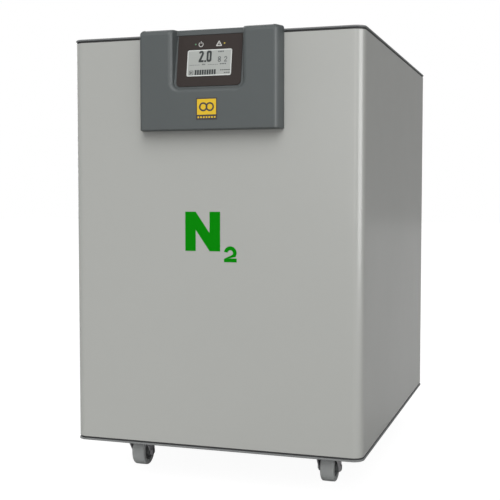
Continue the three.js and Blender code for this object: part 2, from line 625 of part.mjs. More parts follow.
const column = () => turnedZ([
  [0, COLUMNS.bottom], [COLUMNS.radius, COLUMNS.bottom], [COLUMNS.radius, COLUMNS.bottom + 14],
  [COLUMNS.radius - 4, COLUMNS.bottom + 16], [COLUMNS.radius - 4, COLUMNS.top - 16],
  [COLUMNS.radius, COLUMNS.top - 14], [COLUMNS.radius, COLUMNS.top], [0, COLUMNS.top]], 16);

const bufferTank = () => turnedZ([
  [0, SHELF_Z + 2.3], [44, SHELF_Z + 2.3], [44, SHELF_Z + 22], [56, SHELF_Z + 30], [COLUMNS.tankRadius, SHELF_Z + 48],
  [COLUMNS.tankRadius, 618], [52, 640], [34, 652], [14, 656], [14, COLUMNS.top], [0, COLUMNS.top]], 16);

function pressureRegulator() {
  const z = COLUMNS.top + 13;
  return join(
    box(-20, 20, 135.3, 172, z - 11, z + 20),
    rodZ(14, z + 18, z + 34, 12).translate(0, 153, 0),
    rodZ(5, z + 30, z + 42, 8).translate(0, 153, 0),
    rodY(8, 170, 184, 12).translate(0, 0, z));
}

function gasTrain() {
  const { xs, y, tankX, top } = COLUMNS;
  const outletZ = top + 13;
  const outletPath = [[tankX, 184.3, outletZ], [tankX, 205, outletZ], [tankX, 250, outletZ - 14],
    [GAS_OUTLET.x, 290, GAS_OUTLET.z], [GAS_OUTLET.x, REAR - 20.3, GAS_OUTLET.z]];
  return [
    piece('aftercooler_coil', aftercooler(), FINISH.copper),
    group([piece('water_separator', waterSeparator(), FINISH.aluminium)], [60, 262, 0]),
    piece('valve_manifold', valveManifold(), FINISH.aluminium),
    group([piece('psa_column_a', column(), FINISH.aluminium)], [xs[0], y, 0]),
    group([piece('psa_column_b', column(), FINISH.aluminium)], [xs[1], y, 0]),
    group([piece('buffer_tank', bufferTank(), FINISH.tank)], [tankX, y, 0]),
    piece('upper_manifold', box(xs[0] - 45, tankX + 40, 75, 135, top + GAP, top + 26), FINISH.aluminium),
    group([piece('pressure_regulator', pressureRegulator(), FINISH.brass)], [tankX, 0, 0]),
    piece('outlet_tube', pipe(outletPath, 4, 20, 8), FINISH.tube),
    piece('power_supply', join(
      box(-200, -40, -220, -120, SHELF_Z + 2.3, SHELF_Z + 52),
      box(-60, -30, -205, -135, SHELF_Z + 8, SHELF_Z + 30)), FINISH.zinc),
  ];
}

// ---------------------------------------------------------------- the generator

export default group([
  group(cabinet()),
  group(displayConsole()),
  ...castors(),
  ...rearConnections(),
  compressor(),
  group(gasTrain()),
]);
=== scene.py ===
"""Looks of a floor-standing laboratory nitrogen generator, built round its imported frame.

Every length is in metres. The front of the cabinet faces -Y, +Z is up, and the origin is on the floor under
the cabinet's middle. Places come from the frame's boxes, and sizes are fields of each sub-assembly's class.
"""

from __future__ import annotations

import json
import logging
import math
from dataclasses import dataclass, field
from enum import Enum
from typing import Iterable, Sequence

import bmesh
import bpy
import numpy as np
from mathutils import Matrix, Vector

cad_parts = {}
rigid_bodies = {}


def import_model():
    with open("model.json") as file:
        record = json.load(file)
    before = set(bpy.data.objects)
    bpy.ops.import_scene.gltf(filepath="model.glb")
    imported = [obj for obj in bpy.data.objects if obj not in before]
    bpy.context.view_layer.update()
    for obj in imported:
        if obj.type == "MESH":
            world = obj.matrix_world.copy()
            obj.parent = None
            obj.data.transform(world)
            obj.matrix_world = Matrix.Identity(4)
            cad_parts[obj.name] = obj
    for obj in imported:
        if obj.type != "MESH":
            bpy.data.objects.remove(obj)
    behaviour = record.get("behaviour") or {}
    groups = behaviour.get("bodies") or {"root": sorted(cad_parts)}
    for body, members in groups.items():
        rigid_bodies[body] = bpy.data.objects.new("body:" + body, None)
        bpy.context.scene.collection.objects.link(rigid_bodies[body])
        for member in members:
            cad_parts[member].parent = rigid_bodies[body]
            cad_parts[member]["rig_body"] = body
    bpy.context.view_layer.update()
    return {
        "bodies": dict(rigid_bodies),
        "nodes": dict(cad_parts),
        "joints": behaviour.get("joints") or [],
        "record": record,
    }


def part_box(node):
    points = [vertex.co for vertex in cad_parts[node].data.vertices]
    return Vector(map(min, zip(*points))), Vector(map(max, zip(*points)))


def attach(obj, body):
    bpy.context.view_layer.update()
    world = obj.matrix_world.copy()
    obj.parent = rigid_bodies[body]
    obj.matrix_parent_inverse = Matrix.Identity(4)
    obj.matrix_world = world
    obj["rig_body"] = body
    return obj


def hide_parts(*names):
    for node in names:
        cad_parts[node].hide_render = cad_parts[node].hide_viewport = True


log = logging.getLogger("generator")
Array = np.ndarray
Object = bpy.types.Object
Material = bpy.types.Material
Socket = bpy.types.NodeSocket
MM = 0.001
WORLD = np.eye(4)


# ---------- places


class Facing(Enum):
    """Which way a flat shape drawn in u and v looks, as the world axes of u, v and its outward w."""

    FRONT = ((1, 0, 0), (0, 0, 1), (0, -1, 0))
    REAR = ((-1, 0, 0), (0, 0, 1), (0, 1, 0))
    RIGHT = ((0, 1, 0), (0, 0, 1), (1, 0, 0))
    UP = ((1, 0, 0), (0, 1, 0), (0, 0, 1))
    DOWN = ((1, 0, 0), (0, -1, 0), (0, 0, -1))


def pose(facing: Facing, at: Sequence[float], angle: float = 0.0, axis: str = "X") -> Array:
    """The 4 x 4 matrix that takes u, v, w to the world.

    Args:
        facing: the axes of u, v and w.
        at: where u, v, w = 0 lies.
        angle: a turn about a world axis, in radians, made before the move.
        axis: that world axis.

    Returns:
        The matrix.
    """
    matrix = np.eye(4)
    matrix[:3, :3] = np.array(facing.value, float).T
    matrix = np.array(Matrix.Rotation(angle, 4, axis)) @ matrix
    matrix[:3, 3] = at
    return matrix


def moved(points: Array, matrix: Array) -> Array:
    """Points of any leading shape, carried by a 4 x 4 matrix."""
    return points @ matrix[:3, :3].T + matrix[:3, 3]


def middle(node: str) -> Vector:
    """The middle of a CAD node's box."""
    low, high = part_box(node)
    return (low + high) / 2


# ---------- outlines


def arc(centre: Sequence[float], radius: float, start: float, end: float, steps: int) -> Array:
    """Points on a circle from start to end, in degrees."""
    turn = np.radians(np.linspace(start, end, steps + 1))
    return np.stack([centre[0] + radius * np.cos(turn), centre[1] + radius * np.sin(turn)], axis=-1)


def rounded_rectangle(width: float, height: float, radius: float, steps: int = 8,
                      centre: Sequence[float] = (0.0, 0.0)) -> Array:
    """A closed outline, anticlockwise from the upper right corner, whose corners are quarter circles.

    Args:
        width: along x.
        height: along y.
        radius: the corners' radius.
        steps: facets in a corner.
        centre: its middle.

    Returns:
        The outline.
    """
    x, y = width / 2 - radius, height / 2 - radius
    corners = [(x, y, 0), (-x, y, 90), (-x, -y, 180), (x, -y, 270)]
    outline = [arc((cx, cy), radius, start, start + 90, steps) for cx, cy, start in corners]
    return np.concatenate(outline) + np.array(centre)


def rectangle(x: float, y: float, width: float, height: float) -> Array:
    """A closed outline from its lower left corner (x, y), anticlockwise."""
    return np.array([(x, y), (x + width, y), (x + width, y + height), (x, y + height)])


def circle(radius: float, steps: int, centre: Sequence[float] = (0.0, 0.0)) -> Array:
    """A closed round outline, anticlockwise."""
    return arc(centre, radius, 0, 360, steps)[:-1]


def hexagon(radius: float, steps: int = 8) -> Array:
    """A six-sided outline with some points along each side.

    A point is radius * cos(30) / cos(angle from its side's middle) away.

    Args:
        radius: from the middle to a corner.
        steps: points along each side.

    Returns:
        The outline.
    """
    turn = np.radians(np.linspace(0, 360, 6 * steps + 1))[:-1]
    reach = radius * math.cos(math.pi / 6) / np.cos((turn + math.pi / 6) % (math.pi / 3) - math.pi / 6)
    return np.stack([reach * np.cos(turn), reach * np.sin(turn)], axis=-1)


def squircle(half: float, power: float, steps: int) -> Array:
    """A rounded square: the reach is half / (|cos| ** power + |sin| ** power) ** (1 / power).

    Args:
        half: half its width.
        power: its squareness.
        steps: how many points.

    Returns:
        The outline.
    """
    turn = np.radians(np.linspace(0, 360, steps + 1))[:-1]
    reach = half / (np.abs(np.cos(turn)) ** power + np.abs(np.sin(turn)) ** power) ** (1 / power)
    return np.stack([reach * np.cos(turn), reach * np.sin(turn)], axis=-1)


def round_inside(outline: Array, radius: float) -> Array:
    """A circle with one point on the same ray as each point of an outline about the origin."""
    return outline / np.linalg.norm(outline, axis=1, keepdims=True) * radius


def figure_two(x: float, y: float, width: float, height: float, weight: float) -> Array:
    """The outline of a digit 2 in a box from (x, y).

    An elliptical bowl of one weight runs from the left to the lower right. Straight edges carry it down to
    the left end of a flat foot.

    Args:
        x: its left end.
        y: its foot.
        width: its width.
        height: its height.
        weight: the strokes' thickness.

    Returns:
        The outline.
    """
    rise = min(0.55 * width, 0.42 * height)
    centre = np.array([width / 2, height - rise])
    start, end = -35, 172
    outer = centre + arc((0, 0), 1, start, end, 16) * (width / 2, rise)
    inner = centre + arc((0, 0), 1, end, start, 16) * (width / 2 - weight, rise - weight)
    foot = np.array([(0, 0), (width, 0), (width, weight), (1.3 * weight, weight)])
    return np.concatenate([foot, outer, inner, [(0, 0.85 * weight)]]) + (x, y)


def letter_n(x: float, y: float, width: float, height: float, stem: float, lean: float) -> Array:
    """The outline of a heavy N in a box from (x, y).

    The diagonal's lower edge falls from lean of the height, at the left stem, to the foot of the right stem.
    Its upper edge falls as far, from the head of the left stem.

    Args:
        x: its left end.
        y: its foot.
        width: its width.
        height: its height.
        stem: how wide a stem is.
        lean: a share of the height.

    Returns:
        The outline.
    """
    right = width - stem
    return np.array([
        (0, 0), (stem, 0), (stem, lean * height), (right, 0), (width, 0),
        (width, height), (right, height), (right, (1 - lean) * height), (stem, height), (0, height),
    ]) + (x, y)


def cylinder(radius: float, low: float, high: float) -> Array:
    """The profile of a plain cylinder for turning: out from the axis, up its side and back."""
    return np.array([(0, low), (radius, low), (radius, high), (0, high)])


def softened(profile: Sequence[Sequence[float]], radius: float, steps: int = 3) -> Array:
    """A polyline whose inner corners are replaced by quadratic curves that start radius from each corner.

    Args:
        profile: the polyline's corners.
        radius: from a corner to its curve.
        steps: facets in a curve.

    Returns:
        The softened polyline.
    """
    points = np.array(profile, float)
    result = [points[:1]]
    for before, corner, after in zip(points[:-2], points[1:-1], points[2:]):
        back, ahead = before - corner, after - corner
        reach_back = min(radius, 0.45 * np.linalg.norm(back))
        reach_ahead = min(radius, 0.45 * np.linalg.norm(ahead))
        first = corner + back / np.linalg.norm(back) * reach_back
        last = corner + ahead / np.linalg.norm(ahead) * reach_ahead
        share = np.linspace(0, 1, steps + 1)[:, None]
        result.append((1 - share) ** 2 * first + 2 * share * (1 - share) * corner + share ** 2 * last)
    result.append(points[-1:])
    return np.concatenate(result)


def miters(outline: Array) -> Array:
    """How far each point of a closed anticlockwise outline moves when its edges move out by one unit.

    Args:
        outline: the closed outline.

    Returns:
        A step for each point.
    """
    edge = np.roll(outline, -1, axis=0) - outline
    length = np.linalg.norm(edge, axis=1, keepdims=True)
    normal = np.stack([edge[:, 1], -edge[:, 0]], axis=-1) / np.maximum(length, 1e-12)
    before = np.roll(normal, 1, axis=0)
    scale = np.maximum(1.0 + (before * normal).sum(axis=1, keepdims=True), 0.35)
    return (before + normal) / scale


def eased_edge(low: float, high: float, radius: float, steps: int = 3) -> Array:
    """Rows of (inset, height) for a wall from low to high whose two edges are quarter circles.

    Args:
        low: the wall's foot.
        high: its head.
        radius: the quarter circles' radius.
        steps: facets in each.

    Returns:
        The rows, from the foot up.
    """
    turn = np.radians(np.linspace(0, 90, steps + 1))
    foot = np.stack([radius * (1 - np.sin(turn)), low + radius * (1 - np.cos(turn))], axis=-1)
    head = np.stack([radius * (1 - np.cos(turn)), high - radius * (1 - np.sin(turn))], axis=-1)
    return np.concatenate([foot, head])


def walled(outline: Array, rows: Array, matrix: Array) -> Array:
    """The wall over an outline: each row is the outline moved in by its inset, at its height along w.

    Args:
        outline: the closed outline.
        rows: insets and heights.
        matrix: the place of u, v and w.

    Returns:
        The wall as rows of points.
    """
    flat = outline[None] - rows[:, None, :1] * miters(outline)[None]
    height = np.broadcast_to(rows[:, None, 1:], (len(rows), len(outline), 1))
    return moved(np.concatenate([flat, height], axis=-1), matrix)


# ---------- meshes


class MeshDraft:
    """Collects closed surfaces, then becomes one clean mesh object."""

    def __init__(self, name: str) -> None:
        """Starts an empty draft.

        Args:
            name: the object's name.
        """
        self.name = name
        self.points: list[Array] = []
        self.faces: list[tuple[int, ...]] = []
        self.count = 0

    def grid(self, points: Array, wrap: bool = True, caps: bool = False) -> MeshDraft:
        """Adds a sheet of quads over a (rows, columns, 3) array of points.

        Args:
            points: the surface, row by row.
            wrap: whether the last column joins the first.
            caps: whether the first and last rows are closed by flat faces.

        Returns:
            The draft.
        """
        rows, columns = points.shape[:2]
        index = np.arange(rows * columns).reshape(rows, columns) + self.count
        right = np.roll(index, -1, axis=1)
        left = index
        if not wrap:
            left, right = index[:, :-1], index[:, 1:]
        quads = np.stack([left[:-1], right[:-1], right[1:], left[1:]], axis=-1).reshape(-1, 4)
        self.faces.extend(map(tuple, quads.tolist()))
        if caps:
            self.faces.append(tuple(index[0, ::-1].tolist()))
            self.faces.append(tuple(index[-1].tolist()))
        self.points.append(points.reshape(-1, 3))
        self.count += rows * columns
        return self

    def slab(self, outline: Array, low: float, high: float, matrix: Array = WORLD, edge: float = 0.0
             ) -> MeshDraft:
        """Adds a plate: a wall over an outline, with edges rounded by edge, closed by two flat faces."""
        rows = eased_edge(low, high, edge) if edge > 0 else np.array([(0, low), (0, high)])
        return self.grid(walled(outline, rows, matrix), caps=True)

    def hoop(self, outer: Array, inner: Array, low: float, high: float, matrix: Array = WORLD,
             edge: float = 0.0) -> MeshDraft:
        """Adds a plate with a hole: up the outer outline's wall and down the inner one's, point by point.

        Args:
            outer: the outer outline.
            inner: the hole's outline.
            low: the underside along w.
            high: the top along w.
            matrix: the place of u, v and w.
            edge: the edges' rounding.

        Returns:
            The draft.
        """
        rows = eased_edge(low, high, edge) if edge > 0 else np.array([(0, low), (0, high)])
        down = rows[::-1] * (-1.0, 1.0)
        loop = np.concatenate([walled(outer, rows, matrix), walled(inner, down, matrix)])
        return self.grid(np.concatenate([loop, loop[:1]]))

    def turned(self, profile: Array, segments: int, matrix: Array, closed: bool = False) -> MeshDraft:
        """Adds a turned surface: each (radius, height) point of the profile goes round w.

        Args:
            profile: the points. They start and end at radius 0, or close on themselves.
            segments: how many facets go round.
            matrix: the place of w.
            closed: whether the profile closes on itself.

        Returns:
            The draft.
        """
        rows = np.concatenate([profile, profile[:1]]) if closed else np.asarray(profile)
        ring = circle(1.0, segments)
        flat = rows[:, None, :1] * ring[None]
        height = np.broadcast_to(rows[:, None, 1:], (len(rows), segments, 1))
        return self.grid(moved(np.concatenate([flat, height], axis=-1), matrix))

    def wire(self, path: Array, radius: float, sides: int = 12) -> MeshDraft:
        """Adds a round bar along a path. Each ring is square to the path and turns as little as it can.

        Args:
            path: the bar's middle line.
            radius: its radius.
            sides: facets round it.

        Returns:
            The draft.
        """
        tangent = np.gradient(path, axis=0)
        tangent /= np.linalg.norm(tangent, axis=1, keepdims=True)
        side = np.cross(tangent[0], (0.0, 0.0, 1.0) if abs(tangent[0, 2]) < 0.9 else (1.0, 0.0, 0.0))
        across = []
        for direction in tangent:
            side = side - direction * (side @ direction)
            side = side / np.linalg.norm(side)
            across.append(side)
        u = np.array(across)
        v = np.cross(tangent, u)
        ring = circle(radius, sides)
        tube = path[:, None] + ring[None, :, :1] * u[:, None] + ring[None, :, 1:] * v[:, None]
        return self.grid(tube, caps=True)

    def cross_screw(self, matrix: Array, radius: float = 3.6 * MM, height: float = 2.2 * MM) -> MeshDraft:
        """Adds a pan-head screw with a cross recess.

        The head is a dome, height * sqrt(1 - 0.75 r**2), less a recess that is deepest on two crossed lines.
        Its depth falls from 1 to 0 as the distance to the nearer line goes from 0.10 to 0.16 of the radius,
        and as the distance from the middle goes from 0.5 to 0.6 of it.

        Args:
            matrix: the seat's place.
            radius: the head's radius.
            height: the head's height.

        Returns:
            The draft.
        """
        share = np.concatenate([np.linspace(0, 0.66, 12), np.linspace(0.66, 1, 6)[1:]])[:, None]
        turn = np.radians(np.linspace(0, 360, 49))[None, :-1]
        line = share * np.minimum(np.abs(np.sin(turn)), np.abs(np.cos(turn)))
        recess = np.clip((0.16 - line) / 0.06, 0, 1) * np.clip((0.6 - share) / 0.1, 0, 1)
        dome = height * np.sqrt(1 - 0.75 * share ** 2) * (1 - 0.55 * recess)
        top = np.stack([radius * share * np.cos(turn), radius * share * np.sin(turn), dome], axis=-1)
        rim = top[-1:] * (1, 1, 0)
        foot = rim * (0, 0, 0)
        return self.grid(moved(np.concatenate([top, rim, foot]), matrix))

    def build(self, smooth_angle: float = 35.0) -> Object:
        """Makes the object: doubles merged, normals outwards, sharp where it turns.

        Args:
            smooth_angle: the largest smooth turn, in degrees.

        Returns:
            The new object, at the origin, linked to the scene.
        """
        mesh = bpy.data.meshes.new(self.name)
        mesh.from_pydata(np.concatenate(self.points).tolist(), [], self.faces)
        return finished(self.name, mesh, smooth_angle)


def finished(name: str, mesh: bpy.types.Mesh, smooth_angle: float) -> Object:
    """Cleans a mesh and puts it into an object, smooth across edges that turn less than smooth_angle.

    Args:
        name: the object's name.
        mesh: the mesh, which is changed.
        smooth_angle: the largest smooth turn, in degrees.

    Returns:
        The object, linked to the scene.
    """
    work = bmesh.new()
    work.from_mesh(mesh)
    bmesh.ops.remove_doubles(work, verts=work.verts, dist=2e-6)
    bmesh.ops.dissolve_degenerate(work, edges=work.edges, dist=1e-6)
    bmesh.ops.recalc_face_normals(work, faces=work.faces)
    limit = math.radians(smooth_angle)
    for face in work.faces:
        face.smooth = True
    for edge in work.edges:
        edge.smooth = len(edge.link_faces) == 2 and edge.calc_face_angle(0.0) < limit
    work.to_mesh(mesh)
    work.free()
    obj = bpy.data.objects.new(name, mesh)
    bpy.context.scene.collection.objects.link(obj)
    return obj


def even_normals(obj: Object) -> None:
    """Adds the modifier that keeps large flat faces flat in the light beside rounded edges.

    Args:
        obj: the piece.
    """
    even = obj.modifiers.new("even_normals", "WEIGHTED_NORMAL")
    even.weight = 100
    even.keep_sharp = True


def refined_copy(node: Object, name: str, radius: float, smooth_angle: float = 32.0) -> Object:
    """A merged copy of a CAD node with its facets smoothed and its real edges rounded by a Bevel modifier.

    Args:
        node: the CAD node.
        name: the copy's name.
        radius: how wide the rounding is.
        smooth_angle: edges that turn by less than this, in degrees, are facets of a round shape.

    Returns:
        The copy, linked to the scene and not yet riding on a body.
    """
    mesh = node.data.copy()
    mesh.name = name
    work = bmesh.new()
    work.from_mesh(mesh)
    bmesh.ops.remove_doubles(work, verts=work.verts, dist=2e-6)
    bmesh.ops.dissolve_limit(work, angle_limit=math.radians(0.5), verts=work.verts, edges=work.edges)
    work.to_mesh(mesh)
    work.free()
    copy = finished(name, mesh, smooth_angle)
    bevel = copy.modifiers.new("edge_round", "BEVEL")
    bevel.width = radius
    bevel.segments = 2
    bevel.limit_method = "ANGLE"
    bevel.angle_limit = math.radians(smooth_angle)
    bevel.use_clamp_overlap = True
    return copy


# ---------- shader groups


class Wiring:
    """Shorthand for adding and joining nodes in one tree."""

    def __init__(self, tree: bpy.types.NodeTree) -> None:
        """Works in this tree."""
        self.tree = tree

    def add(self, kind: str, **settings: object) -> bpy.types.Node:
        """A new node of a kind such as TexNoise, with its properties set.

        Args:
            kind: the node's type.
            settings: the properties.

        Returns:
            The node.
        """
        node = self.tree.nodes.new("ShaderNode" + kind)
        for key, value in settings.items():
            setattr(node, key, value)
        return node

    def join(self, source: Socket, target: Socket) -> None:
        """Links one socket to another."""
        self.tree.links.new(source, target)

    def value(self, socket: Socket, source: float | Socket) -> None:
        """Sets a socket to a number, or links it to another socket.

        Args:
            socket: the input.
            source: the number or the socket.
        """
        if isinstance(source, Socket):
            self.join(source, socket)
        else:
            socket.default_value = source

    def math(self, operation: str, *terms: float | Socket) -> Socket:
        """The result of a Math node over numbers or sockets.

        Args:
            operation: the node's operation.
            terms: its inputs in order.

        Returns:
            The result's socket.
        """
        node = self.add("Math", operation=operation)
        for socket, term in zip(node.inputs, terms):
            self.value(socket, term)
        return node.outputs[0]

    def ramp(self, source: Socket, low: float | Socket, high: float | Socket, to_low: float = 0.0,
             to_high: float = 1.0, smooth: bool = True) -> Socket:
        """A value carried from one range to another and held at its ends.

        Args:
            source: the value.
            low: where its range starts.
            high: where it ends.
            to_low: the result there.
            to_high: the result there.
            smooth: whether it eases.

        Returns:
            The result's socket.
        """
        node = self.add("MapRange", interpolation_type="SMOOTHSTEP" if smooth else "LINEAR")
        for label, term in (("Value", source), ("From Min", low), ("From Max", high),
                            ("To Min", to_low), ("To Max", to_high)):
            self.value(node.inputs[label], term)
        return node.outputs["Result"]

    def noise(self, vector: Socket, scale: float | Socket, detail: float = 3.0,
              roughness: float = 0.55) -> Socket:
        """Soft noise from 0 to 1 over a vector.

        Args:
            vector: the place.
            scale: turns per metre.
            detail: the finer layers.
            roughness: their strength.

        Returns:
            The noise's socket.
        """
        node = self.add("TexNoise")
        self.join(vector, node.inputs["Vector"])
        self.value(node.inputs["Scale"], scale)
        node.inputs["Detail"].default_value = detail
        node.inputs["Roughness"].default_value = roughness
        return node.outputs["Fac"]

    def mix(self, share: Socket, low: object, high: object) -> Socket:
        """A colour between two, each given as three numbers or a socket.

        Args:
            share: how much of the second.
            low: the first colour.
            high: the second colour.

        Returns:
            The colour's socket.
        """
        node = self.add("Mix", data_type="RGBA")
        self.join(share, node.inputs["Factor"])
        for socket, colour in ((node.inputs[6], low), (node.inputs[7], high)):
            if isinstance(colour, Socket):
                self.join(colour, socket)
            else:
                socket.default_value = (*colour, 1.0)
        return node.outputs[2]


class Effects:
    """The shader groups that several finishes use. Each is built once."""

    def __init__(self) -> None:
        """Builds every group."""
        self.grain = self._grain()
        self.mottle = self._mottle()
        self.edge_wear = self._edge_wear()
        self.dust = self._dust()
        self.brush = self._brush()

    @staticmethod
    def _start(name: str, inputs: Sequence[tuple[str, float]], output: str
               ) -> tuple[Wiring, bpy.types.Node, bpy.types.Node, Socket]:
        """An empty group with float inputs and one float output.

        Args:
            name: its name.
            inputs: each input's name and value.
            output: the output's name.

        Returns:
            Its wiring, its input node, its output node and the object coordinates.
        """
        tree = bpy.data.node_groups.new(name, "ShaderNodeTree")
        for label, value in inputs:
            socket = tree.interface.new_socket(label, in_out="INPUT", socket_type="NodeSocketFloat")
            socket.default_value = value
        tree.interface.new_socket(output, in_out="OUTPUT", socket_type="NodeSocketFloat")
        wiring = Wiring(tree)
        enter = tree.nodes.new("NodeGroupInput")
        leave = tree.nodes.new("NodeGroupOutput")
        return wiring, enter, leave, wiring.add("TexCoord").outputs["Object"]

    def _grain(self) -> bpy.types.ShaderNodeTree:
        """Height of a fine two-scale grain, such as powder coat or an etched mould.

        Returns:
            The group.
        """
        wiring, enter, leave, place = self._start(
            "fine_grain", [("Scale", 900.0), ("Softness", 0.5)], "Height")
        fine = wiring.noise(place, enter.outputs["Scale"], 2.0)
        coarse = wiring.noise(place, wiring.math("MULTIPLY", enter.outputs["Scale"], 0.28), 1.0)
        low = wiring.math("MULTIPLY", coarse, enter.outputs["Softness"])
        high = wiring.math("MULTIPLY", fine, wiring.math("SUBTRACT", 1.0, enter.outputs["Softness"]))
        wiring.join(wiring.math("ADD", low, high), leave.inputs["Height"])
        return wiring.tree

    def _mottle(self) -> bpy.types.ShaderNodeTree:
        """A slow change over the surface, from 0 to 1.

        Returns:
            The group.
        """
        wiring, enter, leave, place = self._start(
            "slow_mottle", [("Scale", 6.0), ("Contrast", 0.5)], "Amount")
        slow = wiring.noise(place, enter.outputs["Scale"], 4.0, 0.6)
        half = wiring.math("MULTIPLY", wiring.math("SUBTRACT", 1.0, enter.outputs["Contrast"]), 0.5)
        top = wiring.math("SUBTRACT", 1.0, half)
        wiring.join(wiring.ramp(slow, half, top), leave.inputs["Amount"])
        return wiring.tree

    def _edge_wear(self) -> bpy.types.ShaderNodeTree:
        """1 along edges and corners, broken up by noise, and 0 on open faces.

        Returns:
            The group.
        """
        wiring, enter, leave, place = self._start(
            "edge_wear", [("Radius", 0.001), ("Breakup", 60.0), ("Amount", 0.5)], "Mask")
        bevel = wiring.add("Bevel", samples=4)
        wiring.join(enter.outputs["Radius"], bevel.inputs["Radius"])
        geometry = wiring.add("NewGeometry")
        dot = wiring.add("VectorMath", operation="DOT_PRODUCT")
        wiring.join(bevel.outputs["Normal"], dot.inputs[0])
        wiring.join(geometry.outputs["Normal"], dot.inputs[1])
        edge = wiring.ramp(dot.outputs["Value"], 0.995, 0.9)
        broken = wiring.ramp(wiring.noise(place, enter.outputs["Breakup"], 5.0, 0.65), 0.42, 0.62)
        product = wiring.math("MULTIPLY", wiring.math("MULTIPLY", edge, broken), enter.outputs["Amount"])
        wiring.join(product, leave.inputs["Mask"])
        return wiring.tree

    def _dust(self) -> bpy.types.ShaderNodeTree:
        """1 where dust settles: on faces that look up, in soft patches.

        Returns:
            The group.
        """
        wiring, enter, leave, place = self._start("settled_dust", [("Scale", 14.0), ("Amount", 0.4)], "Mask")
        geometry = wiring.add("NewGeometry")
        parts = wiring.add("SeparateXYZ")
        wiring.join(geometry.outputs["Normal"], parts.inputs[0])
        upward = wiring.ramp(parts.outputs["Z"], 0.35, 0.95)
        patches = wiring.ramp(wiring.noise(place, enter.outputs["Scale"], 6.0, 0.7), 0.38, 0.72)
        product = wiring.math("MULTIPLY", wiring.math("MULTIPLY", upward, patches), enter.outputs["Amount"])
        wiring.join(product, leave.inputs["Mask"])
        return wiring.tree

    def _brush(self) -> bpy.types.ShaderNodeTree:
        """Height of fine parallel marks that run across the chosen axes.

        Returns:
            The group.
        """
        wiring, enter, leave, place = self._start(
            "brush_marks", [("Along X", 1.0), ("Along Y", 1.0), ("Along Z", 0.03), ("Scale", 1500.0)],
            "Height")
        stretch = wiring.add("CombineXYZ")
        for label, socket in zip(("Along X", "Along Y", "Along Z"), stretch.inputs):
            wiring.join(enter.outputs[label], socket)
        scaled = wiring.add("VectorMath", operation="MULTIPLY")
        wiring.join(place, scaled.inputs[0])
        wiring.join(stretch.outputs[0], scaled.inputs[1])
        wiring.join(wiring.noise(scaled.outputs[0], enter.outputs["Scale"], 2.0), leave.inputs["Height"])
        return wiring.tree


# ---------- finishes


@dataclass(frozen=True)
class Finish:
    """A procedural finish: two base tones, grain, edge wear and dust over one Principled surface.

    Colours are linear. Lengths are in metres and scales are in turns per metre.
    """

    name: str
    tone: tuple[float, float, float]
    shade: tuple[float, float, float]
    roughness: tuple[float, float] = (0.4, 0.5)
    metallic: float = 0.0
    specular: float = 0.5
    coat: float = 0.0
    coat_roughness: float = 0.1
    mottle_scale: float = 5.0
    grain_scale: float = 900.0
    grain_depth: float = 0.00003
    brushed: tuple[float, float, float] | None = None
    wear: float = 0.0
    wear_radius: float = 0.0012
    wear_tone: tuple[float, float, float] = (0.7, 0.7, 0.7)
    dust: float = 0.0
    dust_tone: tuple[float, float, float] = (0.42, 0.41, 0.39)
    dust_dulls: float = 0.3

    def material(self, effects: Effects) -> Material:
        """Builds the material.

        Args:
            effects: the shared shader groups.

        Returns:
            A node material with this finish's name.
        """
        made = bpy.data.materials.new(self.name)
        made.use_nodes = True
        wiring = Wiring(made.node_tree)
        surface = made.node_tree.nodes["Principled BSDF"]
        surface.inputs["Metallic"].default_value = self.metallic
        surface.inputs["Specular IOR Level"].default_value = self.specular
        surface.inputs["Coat Weight"].default_value = self.coat
        surface.inputs["Coat Roughness"].default_value = self.coat_roughness
        mottle = self._group(wiring, effects.mottle, Scale=self.mottle_scale, Contrast=0.5)
        colour = wiring.mix(mottle, self.tone, self.shade)
        rough = wiring.ramp(mottle, 0.0, 1.0, *self.roughness, smooth=False)
        if self.wear > 0:
            mask = self._group(wiring, effects.edge_wear, Radius=self.wear_radius, Amount=self.wear)
            colour = wiring.mix(mask, colour, self.wear_tone)
        if self.dust > 0:
            mask = self._group(wiring, effects.dust, Amount=self.dust)
            colour = wiring.mix(mask, colour, self.dust_tone)
            rough = wiring.math("ADD", rough, wiring.math("MULTIPLY", mask, self.dust_dulls))
        wiring.join(colour, surface.inputs["Base Color"])
        wiring.join(rough, surface.inputs["Roughness"])
        bump = wiring.add("Bump")
        bump.inputs["Distance"].default_value = self.grain_depth
        bump.inputs["Strength"].default_value = 1.0
        wiring.join(self._height(wiring, effects), bump.inputs["Height"])
        wiring.join(bump.outputs["Normal"], surface.inputs["Normal"])
        return made

    def _height(self, wiring: Wiring, effects: Effects) -> Socket:
        """The surface's fine relief: brush marks or grain.

        Args:
            wiring: the material's wiring.
            effects: the shared shader groups.

        Returns:
            The height's socket.
        """
        if self.brushed is None:
            return self._group(wiring, effects.grain, Scale=self.grain_scale)
        x, y, z = self.brushed
        return self._group(wiring, effects.brush, **{"Along X": x, "Along Y": y, "Along Z": z,
                                                     "Scale": self.grain_scale})

    @staticmethod
    def _group(wiring: Wiring, tree: bpy.types.ShaderNodeTree, **inputs: float) -> Socket:
        """Places a group, sets its inputs and gives its output.

        Args:
            wiring: the material's wiring.
            tree: the group.
            inputs: their values.

        Returns:
            The output's socket.
        """
        node = wiring.add("Group", node_tree=tree)
        for label, value in inputs.items():
            node.inputs[label].default_value = value
        return node.outputs[0]


